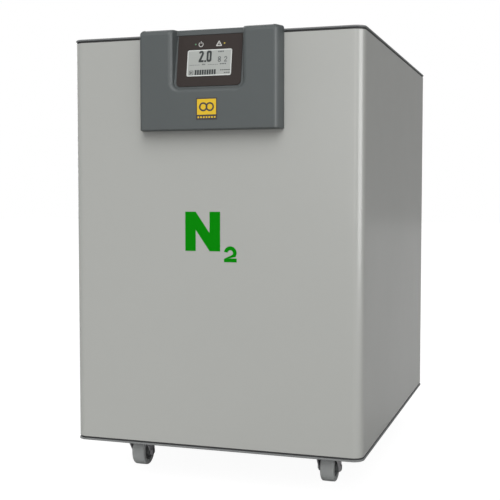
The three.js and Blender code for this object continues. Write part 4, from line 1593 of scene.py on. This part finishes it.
    def lamps(self) -> None:
        """The two small lamps, low domes beside the symbols."""
        angle = np.radians(np.linspace(0, 90, 6))
        dome = np.stack([self.lamp_radius * np.cos(angle), self.lamp_height * np.sin(angle)], axis=-1)
        profile = np.concatenate([[(0.0, 0.0)], dome])
        profile[-1, 0] = 0.0
        for name, u, paint in (("power_lamp", -self.lamp_u, Paint.LAMP_GREEN),
                               ("alarm_lamp", self.lamp_u, Paint.LAMP_AMBER)):
            place = self.frame.copy()
            place[:3, 3] = moved(np.array([u, self.lamp_v, 0.0]), self.frame)
            self.shop.place(MeshDraft(name).turned(profile, 24, place).build(), paint, slot="membrane_film")


@dataclass
class Marks:
    """The badge on the console and the gas symbol on the front panel."""

    shop: Workshop
    border: float = 1.8 * MM
    strip: float = 6.5 * MM
    bars: int = 7
    bar_lift: float = 1.2 * MM
    bar_height: float = 2.6 * MM
    ring_x: float = 5.6 * MM
    ring_radii: tuple[float, float] = (7.2 * MM, 4.6 * MM)
    film: float = 0.25 * MM
    n_box: tuple[float, float, float, float] = (-47 * MM, 396 * MM, 61 * MM, 64.6 * MM)
    n_stem: float = 18.4 * MM
    two_box: tuple[float, float, float, float] = (20.5 * MM, 378.6 * MM, 21.9 * MM, 26 * MM)
    two_weight: float = 6.3 * MM

    def build(self) -> None:
        """Makes the badge and the symbol."""
        self.badge()
        self.gas_symbol()

    def badge(self) -> None:
        """A dark plate with a yellow field, two linked rings for a two-atom gas, and a row of short bars."""
        low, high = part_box("badge_plate")
        face = low.y + self.film
        centre = middle("badge_plate")
        width, height = high.x - low.x, high.z - low.z
        frame = pose(Facing.FRONT, (0.0, face, centre.z))
        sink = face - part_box("console_housing")[0].y
        plate = MeshDraft("badge_base").slab(
            rounded_rectangle(width, height, 1.2 * MM), sink, 0.0, frame, 0.04 * MM)
        self.shop.place(plate.build(), Paint.BADGE_INK, slot="badge_enamel", replaces=["badge_plate"])
        field_height = height - 2 * self.border - self.strip
        up = self.strip / 2
        tile = rounded_rectangle(width - 2 * self.border, field_height, 0.4 * MM, 4, (0.0, up))
        field_piece = MeshDraft("badge_field").slab(tile, 0.0, self.film / 2, frame)
        step = (width - 2 * self.border) / self.bars
        for index in range(self.bars):
            x = -width / 2 + self.border + (index + 0.2) * step
            bar = rectangle(x, self.border + self.bar_lift - height / 2, 0.6 * step, self.bar_height)
            field_piece.slab(bar, 0.0, self.film / 2, frame)
        self.shop.place(field_piece.build(), Paint.BADGE, slot="badge_enamel")
        ink = MeshDraft("badge_motif")
        for x, top in ((-self.ring_x, 0.9), (self.ring_x, 0.99)):
            ring, hole = (circle(radius, 48, (x, up)) for radius in self.ring_radii)
            ink.hoop(ring, hole, self.film / 2, top * self.film, frame)
        self.shop.place(ink.build(), Paint.BADGE_INK, slot="badge_enamel")

    def gas_symbol(self) -> None:
        """The green N and its small 2, cut from thin film."""
        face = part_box("front_panel")[0].y
        frame = pose(Facing.FRONT, (0.0, face, 0.0))
        letter = letter_n(*self.n_box, self.n_stem, 0.54)
        figure = figure_two(*self.two_box, self.two_weight)
        draft = MeshDraft("gas_symbol").slab(letter, 0.0, self.film, frame, 0.06 * MM)
        draft.slab(figure, 0.0, self.film, frame, 0.06 * MM)
        self.shop.place(draft.build(), Paint.GREEN)


# ---------- castors


@dataclass
class Castor:
    """One swivel castor: its plate, its pressed fork, its axle and its wheel."""

    shop: Workshop
    corner: str
    plate_corner: float = 6 * MM
    plate_thickness: float = 2.5 * MM
    race_radius: float = 18 * MM
    race_height: float = 2.7 * MM
    nut_radius: float = 6.5 * MM
    nut_height: float = 3.4 * MM
    fork_half: float = 18.5 * MM
    fork_nose: float = 19 * MM
    fork_back: float = 33 * MM
    fork_sheet: float = 2.0 * MM
    leg_front: float = -12 * MM
    leg_foot: float = 17 * MM
    leg_drop: float = 35.2 * MM
    leg_round: float = 8 * MM
    crown_round: float = 1.6 * MM
    swivel_radii: tuple[float, float] = (14.2 * MM, 15.6 * MM)
    axle_radius: float = 3.9 * MM
    axle_head: float = 6 * MM
    bore_radius: float = 4.4 * MM
    hub_radius: float = 9 * MM
    rim_radius: float = 16 * MM
    tread_half: float = 12.2 * MM
    pin_radius: float = 4 * MM
    screw_at: tuple[float, float] = (23 * MM, 19 * MM)
    axis: tuple[float, float, float] = field(init=False)
    top: float = field(init=False)
    wheel_at: Vector = field(init=False)

    def build(self) -> None:
        """Makes the castor's pieces, each on its own body."""
        low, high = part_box(self.part("plate"))
        self.axis = ((low.x + high.x) / 2, (low.y + high.y) / 2, 0.0)
        self.top = high.z
        self.wheel_at = middle(self.part("wheel"))
        self.plate()
        self.fork()
        self.axle()
        self.wheel()

    def part(self, name: str) -> str:
        """The full name of one of this castor's parts."""
        return f"{self.corner}_castor_{name}"

    def plate(self) -> None:
        """The top plate, the bearing race under it, the kingpin with its nut, and the four screws."""
        low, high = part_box(self.part("plate"))
        foot = low.z
        place = pose(Facing.UP, self.axis)
        underside = self.top - self.plate_thickness
        draft = MeshDraft(self.part("top"))
        outline = rounded_rectangle(high.x - low.x, high.y - low.y, self.plate_corner)
        draft.slab(outline, underside, self.top, place, 0.5 * MM)
        race, race_foot = self.race_radius, underside - self.race_height
        bearing = [(0, underside), (race, underside), (race, race_foot),
                   (race - 3 * MM, race_foot - 0.2 * MM), (0, race_foot - 0.2 * MM)]
        draft.turned(softened(bearing, 0.9 * MM), 64, place)
        draft.turned(cylinder(self.pin_radius, foot + 1 * MM, underside), 32, place)
        draft.slab(hexagon(self.nut_radius), foot, foot + self.nut_height, place, 0.5 * MM)
        self.shop.place(draft.build(), Paint.CASTOR, slot="castor_steel", replaces=[self.part("plate")])
        screws = MeshDraft(self.part("screws"))
        reach_x, reach_y = self.screw_at
        for x in (-reach_x, reach_x):
            for y in (-reach_y, reach_y):
                screws.cross_screw(pose(Facing.DOWN, (self.axis[0] + x, self.axis[1] + y, underside)))
        self.shop.place(screws.build(), Paint.STEEL, slot="bright_steel")

    def leg_edge(self, y: Array, nose: Array) -> Array:
        """The height of the pressing's lower edge: short round the nose, and down to the leg's eye.

        Args:
            y: each plan point's depth.
            nose: which points are on the nose.

        Returns:
            The height at each plan point.
        """
        wheel_z = self.wheel_at.z
        centre = self.fork_back - self.leg_round
        slope = self.leg_drop / (self.leg_foot - self.leg_front)
        ramp = wheel_z + self.leg_drop - (y - self.leg_front) * slope
        eye = wheel_z - np.sqrt(np.maximum(self.leg_round ** 2 - (y - centre) ** 2, 0.0))
        edge = np.where(y > self.leg_foot, eye, ramp)
        return np.where(nose, wheel_z + self.leg_drop, edge)

    def fork(self) -> None:
        """The pressing as a deep cup over its plan, open below, with legs that reach down to the axle."""
        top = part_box(self.part("fork"))[1].z
        half, back, sheet = self.fork_half, self.fork_back, self.fork_sheet
        along = np.linspace(self.leg_front, back - 0.05 * MM, 44)
        right = np.stack([np.full(len(along), half), along], axis=-1)
        across = np.linspace(half - 1.2 * MM, 1.2 * MM - half, 10)
        rear = np.stack([across, np.full(len(across), back)], axis=-1)
        nose_turn = np.radians(np.linspace(180, 360, 41))[1:-1]
        nose_y = self.leg_front + (self.fork_nose + self.leg_front) * np.sin(nose_turn)
        nose = np.stack([half * np.cos(nose_turn), nose_y], axis=-1)
        plan = np.concatenate([right, rear, right[::-1] * (-1.0, 1.0), nose])
        is_rear = plan[:, 1] > back - 0.02 * MM
        foot = self.leg_edge(plan[:, 1], plan[:, 1] < self.leg_front - 0.01 * MM)
        foot = np.where(is_rear, top - 2.6 * MM, foot)
        out = miters(plan)
        rows = []
        for turn in np.radians(np.linspace(90, 0, 6)):
            height = top - self.crown_round * (1 - math.sin(turn))
            rows.append((self.crown_round * (1 - math.cos(turn)), np.full(len(plan), height)))
        rows += [(0.0, foot + 0.4 * MM), (0.35 * MM, foot), (sheet - 0.35 * MM, foot),
                 (sheet, foot + 0.4 * MM), (sheet, np.full(len(plan), top - sheet))]
        shell = np.stack([np.concatenate([plan - inset * out, height[:, None]], axis=-1)
                          for inset, height in rows])
        place = pose(Facing.UP, self.axis)
        draft = MeshDraft(self.part("pressing")).grid(moved(shell, place), caps=True)
        foot_z, head_z = top - 4.0 * MM, top - 1.9 * MM
        low_radius, high_radius = self.swivel_radii
        swivel = [(0, foot_z), (low_radius, foot_z), (high_radius, head_z), (0, head_z)]
        draft.turned(softened(swivel, 0.8 * MM), 48, place)
        self.shop.place(draft.build(30), Paint.CASTOR, self.part("swivel"), "castor_steel",
                        [self.part("fork")])

    def axle(self) -> None:
        """The axle with a hexagon head at both ends."""
        low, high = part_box(self.part("axle"))
        reach = (high.x - low.x) / 2
        place = pose(Facing.RIGHT, self.wheel_at)
        inner = self.fork_half + 0.2 * MM
        draft = MeshDraft(self.part("bolt")).turned(cylinder(self.axle_radius, -inner, inner), 32, place)
        for start, end in ((inner, reach), (-reach, -inner)):
            draft.slab(hexagon(self.axle_head, 6), start, end, place, 0.35 * MM)
        self.shop.place(draft.build(), Paint.STEEL, self.part("swivel"), "bright_steel", [self.part("axle")])

    def wheel(self) -> None:
        """The wheel: a moulded core with its hub, and a crowned tread with round shoulders."""
        low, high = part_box(self.part("wheel"))
        place = pose(Facing.RIGHT, self.wheel_at)
        hub_end = (high.x - low.x) / 2
        radius = self.wheel_at.z
        half = self.tread_half
        body = self.part("wheel_body")
        hub, rim = self.hub_radius, self.rim_radius
        core = softened([(self.bore_radius, -hub_end), (hub, -hub_end), (hub, -half + 2.6 * MM),
                         (rim - 1.2 * MM, -half + 3.4 * MM), (rim - 0.4 * MM, -half + 1.2 * MM),
                         (rim + 0.4 * MM, -half + 1.2 * MM)], 0.8 * MM)
        core = np.concatenate([core, (core * (1.0, -1.0))[::-1]])
        draft = MeshDraft(f"{self.corner}_wheel_core").turned(core, 72, place, closed=True)
        self.shop.place(draft.build(), Paint.CORE, body, "castor_tread")
        tread = softened([(rim, -half + 0.6 * MM), (rim + 1 * MM, -half), (radius - 2.4 * MM, -half),
                          (radius - 0.35 * MM, -half + 1.6 * MM), (radius - 0.02 * MM, -2.5 * MM),
                          (radius, 0.0)], 1.1 * MM, 5)
        tread = np.concatenate([tread, (tread * (1.0, -1.0))[::-1][1:]])
        draft = MeshDraft(f"{self.corner}_wheel_tread").turned(tread, 96, place, closed=True)
        self.shop.place(draft.build(), Paint.TREAD, body, "castor_tread", [self.part("wheel")])


# ---------- rear side


@dataclass
class ExhaustFan:
    """The exhaust fan: its frame, its rotor and its wire guard."""

    shop: Workshop
    duct_radius: float = 57 * MM
    hub_radius: float = 20 * MM
    tip_radius: float = 53.5 * MM
    blades: int = 7
    blade_thickness: float = 1.6 * MM
    root_pitch: float = 50.0
    tip_pitch: float = 32.0
    flange: float = 4.5 * MM
    motor_plate: float = 4 * MM
    struts: int = 3
    wire_radius: float = 1.0 * MM
    rings: tuple[float, ...] = (57 * MM, 48.5 * MM, 40 * MM, 31.5 * MM, 23 * MM, 14.5 * MM)
    eye_offset: float = 52.5 * MM

    def build(self) -> None:
        """Makes the fan's pieces."""
        self.frame()
        self.rotor()
        self.guard()

    def frame(self) -> None:
        """Two square flanges, a round duct between them, and three struts that hold the motor."""
        low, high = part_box("fan_frame")
        place = pose(Facing.REAR, middle("fan_frame"))
        half_depth = (high.y - low.y) / 2
        square = squircle((high.x - low.x) / 2, 16, 144)
        bore = round_inside(square, self.duct_radius)
        draft = MeshDraft("fan_housing")
        draft.hoop(square, bore, -half_depth, self.flange - half_depth, place, 0.4 * MM)
        draft.hoop(square, bore, half_depth - self.flange, half_depth, place, 0.4 * MM)
        draft.hoop(round_inside(square, self.duct_radius + 1.8 * MM), bore, self.flange - half_depth,
                   half_depth - self.flange, place)
        hub, plate_top = self.hub_radius, self.motor_plate - half_depth
        motor = softened(cylinder(hub, -half_depth, plate_top), 0.6 * MM)
        draft.turned(motor, 64, place)
        for index in range(self.struts):
            turn = np.array(Matrix.Rotation(0.4 + 2 * math.pi * index / self.struts, 4, "Z"))
            strut = rectangle(hub - 1 * MM, -2.5 * MM, self.duct_radius - hub + 2 * MM, 5 * MM)
            draft.slab(strut, -half_depth, plate_top, place @ turn, 0.5 * MM)
        self.shop.place(draft.build(), Paint.BLACK, slot="black_plastic", replaces=["fan_frame"])

    def rotor(self) -> None:
        """The hub and its blades.

        A blade's section is a thin cambered loop whose chord keeps the same depth while its pitch falls from
        the hub to the tip.
        """
        low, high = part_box("fan_rotor")
        depth = high.y - low.y
        place = pose(Facing.REAR, middle("fan_rotor"))
        half = depth / 2
        hub = softened([(0, -half), (self.hub_radius, -half), (self.hub_radius, half - 0.1 * MM),
                        (self.hub_radius * 0.5, half), (0, half)], 2.2 * MM, 6)
        draft = MeshDraft("fan_rotor_moulding").turned(hub, 72, place)
        chord = np.linspace(-0.5, 0.5, 13)
        taper = np.sqrt(np.maximum(1 - (2 * chord) ** 2, 0.0)) * self.blade_thickness / 2 + 0.25 * MM
        along = np.concatenate([chord, chord[::-1]])
        side = np.concatenate([-taper, taper[::-1]])
        span = np.linspace(0, 1, 13)
        for index in range(self.blades):
            rows = []
            for share in span:
                radius = self.hub_radius - 0.6 * MM + share * (self.tip_radius - self.hub_radius)
                pitch = math.radians(self.root_pitch + (self.tip_pitch - self.root_pitch) * share)
                length = (depth - 2.4 * MM) / math.sin(pitch)
                bow = 0.07 * length * (1 - 4 * along ** 2) + side
                sideways = length * along * math.cos(pitch) - bow * math.sin(pitch)
                up = length * along * math.sin(pitch) + (bow - 0.03 * length) * math.cos(pitch)
                up = np.clip(up, -half, half)
                angle = 2 * math.pi * index / self.blades + sideways / radius
                rows.append(np.stack([radius * np.cos(angle), radius * np.sin(angle), up], axis=-1))
            draft.grid(moved(np.stack(rows), place), caps=True)
        self.shop.place(draft.build(40), Paint.FAN, "exhaust_fan", "fan_plastic", ["fan_rotor"])

    def guard(self) -> None:
        """Wire rings, four radial wires that end in eyes, and the screws through the eyes."""
        centre = middle("fan_guard")
        place = pose(Facing.REAR, (centre.x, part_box("fan_guard")[1].y, centre.z))
        draft = MeshDraft("fan_guard_wires")
        for radius in self.rings:
            draft.turned(circle(self.wire_radius, 12, (radius, -self.wire_radius)), 96, place, closed=True)
        under = -3 * self.wire_radius
        reach = self.eye_offset * math.sqrt(2)
        screws = MeshDraft("fan_guard_screws")
        for turn in (45, 135, 225, 315):
            way = np.array([math.cos(math.radians(turn)), math.sin(math.radians(turn)), 0.0])
            stops = np.linspace(self.rings[-1] - self.wire_radius, reach - 3.6 * MM, 8)[:, None]
            draft.wire(moved(stops * way + (0, 0, under), place), self.wire_radius)
            eye = place.copy()
            eye[:3, 3] = moved(reach * way + (0, 0, under), place)
            draft.turned(circle(self.wire_radius, 12, (4.0 * MM, 0.0)), 32, eye, closed=True)
            eye[:3, 3] = moved(reach * way + (0, 0, under + 0.5 * MM), place)
            screws.cross_screw(eye, 4.2 * MM, 2.4 * MM)
        self.shop.place(draft.build(), Paint.WIRE, slot="guard_wire", replaces=["fan_guard"])
        self.shop.place(screws.build(), Paint.STEEL, slot="bright_steel")


@dataclass
class Connections:
    """The mains inlet with its switch, and the gas outlet and drain fittings."""

    shop: Workshop
    blade_root: float = -16.8 * MM
    blade_tip: float = -4.8 * MM
    rocker_tilt: float = 7.0
    rocker_rise: float = 2.2 * MM
    wall_gap: float = 0.3 * MM
    hex_top: float = 7.7 * MM
    groove: float = 0.8 * MM

    def build(self) -> None:
        """Makes the pieces."""
        self.inlet()
        self.rocker()
        self.fitting("gas_outlet_fitting", 13 * MM, 9.5 * MM, 4.2 * MM, 7.5 * MM)
        self.fitting("drain_fitting", 11 * MM, 8 * MM, 3.3 * MM, 6.2 * MM)

    def inlet(self) -> None:
        """The module with rounded edges, and the three contact blades in its socket."""
        body = refined_copy(self.shop.nodes["power_entry"], "inlet_module", 0.6 * MM)
        self.shop.place(body, Paint.BLACK, slot="black_plastic", replaces=["power_entry"])
        centre = middle("power_entry")
        place = pose(Facing.REAR, (centre.x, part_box("power_entry")[1].y, centre.z))
        draft = MeshDraft("inlet_contacts")
        for u, v in ((0.0, -11.5 * MM), (-7 * MM, -16.5 * MM), (7 * MM, -16.5 * MM)):
            blade = rectangle(u - 1 * MM, v - 2 * MM, 2 * MM, 4 * MM)
            draft.slab(blade, self.blade_root, self.blade_tip, place, 0.6 * MM)
        self.shop.place(draft.build(), Paint.STEEL, slot="bright_steel")

    def rocker(self) -> None:
        """The rocker with rounded edges, and a bar and a ring on the two faces that meet over its pivot."""
        key = refined_copy(self.shop.nodes["switch_rocker"], "rocker_key", 0.5 * MM)
        self.shop.place(key, Paint.SWITCH, "rocker", "switch_plastic", ["switch_rocker"])
        pivot = middle("power_entry")
        tilt = math.radians(self.rocker_tilt)
        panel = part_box("rear_panel")[1].y
        valley = (pivot.x - self.rocker_rise * math.sin(tilt), panel + self.rocker_rise * math.cos(tilt),
                  middle("switch_rocker").z)
        draft = MeshDraft("rocker_marks")
        bar = rectangle(4.5 * MM, -2.4 * MM, 1.0 * MM, 4.8 * MM)
        draft.slab(bar, -0.05 * MM, 0.05 * MM, pose(Facing.REAR, valley))
        outer, inner = (circle(radius, 32, (-5 * MM, 0.0)) for radius in (2.5 * MM, 1.6 * MM))
        draft.hoop(outer, inner, -0.05 * MM, 0.05 * MM, pose(Facing.REAR, valley, 2 * tilt, "Z"))
        self.shop.place(draft.build(), Paint.ICON, "rocker", "switch_plastic")

    def fitting(self, node: str, hex_radius: float, body_radius: float, bore: float, stub: float) -> None:
        """A bulkhead fitting: a hexagon against the panel, a collar with a grip groove, and a nut inside.

        Args:
            node: the CAD node it replaces.
            hex_radius: the hexagon's, to its corners.
            body_radius: the collar's.
            bore: the bore's.
            stub: the tail's, behind the panel.
        """
        low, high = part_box(node)
        centre = middle(node)
        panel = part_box("rear_panel")[1].y + self.wall_gap
        place = pose(Facing.REAR, (centre.x, panel, centre.z))
        reach, depth = high.y - panel, low.y - panel
        hex_top = self.hex_top
        draft = MeshDraft(f"{node}_body")
        nut = hexagon(hex_radius)
        draft.hoop(nut, round_inside(nut, bore), 0.0, hex_top, place, 0.9 * MM)
        neck = body_radius - self.groove
        collar = softened([
            (bore, hex_top), (neck, hex_top), (neck, hex_top + 1.4 * MM), (body_radius, hex_top + 2.2 * MM),
            (body_radius, reach - 4.6 * MM), (neck, reach - 3.8 * MM), (neck, reach - 2.6 * MM),
            (body_radius, reach - 1.8 * MM), (body_radius - 0.9 * MM, reach), (bore + 0.9 * MM, reach),
            (bore, reach - 0.8 * MM), (bore, hex_top)], 0.3 * MM)
        draft.turned(collar[:-1], 64, place, closed=True)
        tail = softened([(bore, depth), (stub, depth), (stub, 0.0), (bore, 0.0), (bore, depth)], 0.5 * MM)
        draft.turned(tail[:-1], 48, place, closed=True)
        draft.hoop(nut, round_inside(nut, stub), -7.2 * MM, -2.2 * MM, place, 0.7 * MM)
        self.shop.place(draft.build(), Paint.BRASS, slot="brass_fitting", replaces=[node])


# ---------- inside


@dataclass(frozen=True)
class InnerPart:
    """A part inside the cabinet: the CAD node, its finish and its edge rounding."""

    node: str
    paint: Paint
    edge: float = 0.8 * MM


CORNERS = ("front_left", "front_right", "rear_left", "rear_right")
INNER_PARTS = (
    InnerPart("mid_shelf", Paint.ZINC, 0.4 * MM),
    InnerPart("control_board", Paint.BOARD, 0.3 * MM),
    InnerPart("power_supply", Paint.ZINC),
    InnerPart("compressor_body", Paint.CAST, 1.2 * MM),
    InnerPart("left_cylinder", Paint.CAST, 0.5 * MM),
    InnerPart("right_cylinder", Paint.CAST, 0.5 * MM),
    InnerPart("compressor_shaft", Paint.STEEL, 0.5 * MM),
    InnerPart("compressor_fan", Paint.FAN, 0.4 * MM),
    InnerPart("aftercooler_coil", Paint.COPPER, 0.3 * MM),
    InnerPart("water_separator", Paint.SEPARATOR),
    InnerPart("valve_manifold", Paint.MANIFOLD),
    InnerPart("upper_manifold", Paint.MANIFOLD),
    InnerPart("psa_column_a", Paint.COLUMN),
    InnerPart("psa_column_b", Paint.COLUMN),
    InnerPart("buffer_tank", Paint.TANK),
    InnerPart("pressure_regulator", Paint.BRASS, 0.6 * MM),
    InnerPart("outlet_tube", Paint.TUBE, 0.3 * MM),
    *(InnerPart(f"{corner}_post", Paint.ZINC, 0.4 * MM) for corner in CORNERS),
    *(InnerPart(f"{corner}_isolator", Paint.RUBBER, 1.0 * MM) for corner in CORNERS),
)


def build_inner_parts(shop: Workshop) -> None:
    """Makes a refined copy of each part inside the cabinet, on that part's own body.

    Each finish here has the name of its material slot.

    Args:
        shop: the workshop.
    """
    for part in INNER_PARTS:
        node = shop.nodes[part.node]
        copy = refined_copy(node, f"{part.node}_refined", part.edge)
        shop.place(copy, part.paint, node["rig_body"], part.paint.value.name, [part.node])


# ---------- studio


@dataclass
class Studio:
    """Floor, light and camera."""

    camera_at: tuple[float, float, float] = (0.5417, -1.8181, 0.4876)
    yaw: float = 17.85
    pitch: float = -3.252
    lens: float = 69.44
    sky: float = 0.5
    sky_right: float = 0.37
    sky_rear: float = 0.58
    floor_size: float = 30.0
    floor_shown: float = 0.12
    floor_bounce: float = 0.45
    floor_glow: float = 0.95

    def build(self) -> None:
        """Makes the whole studio."""
        self.camera()
        self.floor()
        self.sky_light()
        self.sun("key_sun", (0.22, -0.72, 0.66), 1.85, 50)
        self.sun("low_fill", (0.12, -1.0, 0.12), 0.62, 40)
        self.sun("rear_sun", (-0.6, 0.75, 0.5), 1.7, 60)
        self.corner_strip((0.927, -0.375), 3.0, (2.4, 2.2), 1.22, 92.0)

    def camera(self) -> None:
        """A camera that stands right of the middle, a little above half height, and looks slightly down."""
        data = bpy.data.cameras.new("camera")
        data.lens, data.sensor_width = self.lens, 36.0
        camera = bpy.data.objects.new("camera", data)
        camera.location = self.camera_at
        camera.rotation_euler = (math.radians(90 + self.pitch), 0.0, math.radians(self.yaw))
        bpy.context.scene.collection.objects.link(camera)
        bpy.context.scene.camera = camera

    def floor(self) -> None:
        """A white floor that gives only part of its light back to the cabinet."""
        half = self.floor_size / 2
        corners = np.array([[(x, y, 0.0) for x in (-half, half)] for y in (-half, half)])
        floor = MeshDraft("floor").grid(corners, wrap=False).build()
        made = bpy.data.materials.new("floor_white")
        made.use_nodes = True
        wiring = Wiring(made.node_tree)
        surface = made.node_tree.nodes["Principled BSDF"]
        surface.inputs["Roughness"].default_value = 1.0
        surface.inputs["Specular IOR Level"].default_value = 0.0
        surface.inputs["Emission Strength"].default_value = self.floor_glow
        seen = wiring.add("LightPath").outputs["Is Camera Ray"]
        wiring.join(wiring.mix(seen, (0.0,) * 3, (1.0,) * 3), surface.inputs["Emission Color"])
        tone = wiring.mix(seen, (self.floor_bounce,) * 3, (self.floor_shown,) * 3)
        wiring.join(tone, surface.inputs["Base Color"])
        floor.data.materials.append(made)

    def sky_light(self) -> None:
        """Pale light from all round, weaker from the right and the rear, with a white backdrop."""
        world = bpy.data.worlds.new("studio")
        world.use_nodes = True
        wiring = Wiring(world.node_tree)
        light = world.node_tree.nodes["Background"]
        light.inputs["Color"].default_value = (1.0, 1.0, 1.0, 1.0)
        parts = wiring.add("SeparateXYZ")
        wiring.join(wiring.add("TexCoord").outputs["Generated"], parts.inputs[0])
        sideways = wiring.ramp(parts.outputs["X"], 0.1, 0.8, self.sky, self.sky_right)
        rearwards = wiring.ramp(parts.outputs["Y"], -0.3, 0.8, 1.0, self.sky_rear)
        wiring.join(wiring.math("MULTIPLY", sideways, rearwards), light.inputs["Strength"])
        backdrop = wiring.add("Background")
        backdrop.inputs["Color"].default_value = (1.0, 1.0, 1.0, 1.0)
        mix = wiring.add("MixShader")
        wiring.join(wiring.add("LightPath").outputs["Is Camera Ray"], mix.inputs["Fac"])
        wiring.join(light.outputs[0], mix.inputs[1])
        wiring.join(backdrop.outputs[0], mix.inputs[2])
        wiring.join(mix.outputs[0], world.node_tree.nodes["World Output"].inputs["Surface"])
        bpy.context.scene.world = world
        bpy.context.scene.view_settings.view_transform = "Standard"

    @staticmethod
    def sun(name: str, towards: Sequence[float], strength: float, spread: float) -> None:
        """A distant light that stands in a direction.

        Args:
            name: its name.
            towards: the direction from the cabinet to the light.
            strength: its irradiance.
            spread: how wide it looks, in degrees.
        """
        data = bpy.data.lights.new(name, "SUN")
        data.energy, data.angle = strength, math.radians(spread)
        light = bpy.data.objects.new(name, data)
        light.rotation_euler = Vector(towards).to_track_quat("Z", "Y").to_euler()
        bpy.context.scene.collection.objects.link(light)

    @staticmethod
    def corner_strip(way: Sequence[float], distance: float, size: Sequence[float], height: float,
                     watts: float) -> None:
        """A broad light to the right, seen only as the bright line on the rounded front corner.

        Args:
            way: its direction in plan.
            distance: from the corner.
            size: its width and height.
            height: of its middle.
            watts: its power.
        """
        low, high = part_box("front_panel")
        data = bpy.data.lights.new("corner_strip", "AREA")
        data.shape, data.size, data.size_y, data.energy = "RECTANGLE", size[0], size[1], watts
        light = bpy.data.objects.new("corner_strip", data)
        light.location = (high.x + way[0] * distance, low.y + way[1] * distance, height)
        light.rotation_euler = Vector((way[0], way[1], 0.0)).to_track_quat("Z", "Y").to_euler()
        light.visible_diffuse = False
        bpy.context.scene.collection.objects.link(light)


def main() -> None:
    """Builds the generator round its frame, then the studio."""
    logging.basicConfig(level=logging.INFO, format="%(name)s: %(message)s")
    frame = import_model()
    shop = Workshop(Effects(), frame["nodes"])
    Cabinet(shop).build()
    console = Console(shop)
    console.housing()
    Display(shop, console.display_frame()).build()
    Marks(shop).build()
    for corner in CORNERS:
        Castor(shop, corner).build()
    ExhaustFan(shop).build()
    Connections(shop).build()
    build_inner_parts(shop)
    shop.dress_carried()
    Studio().build()
    log.info("%d new pieces", shop.made)


if __name__ == "__main__":
    main()
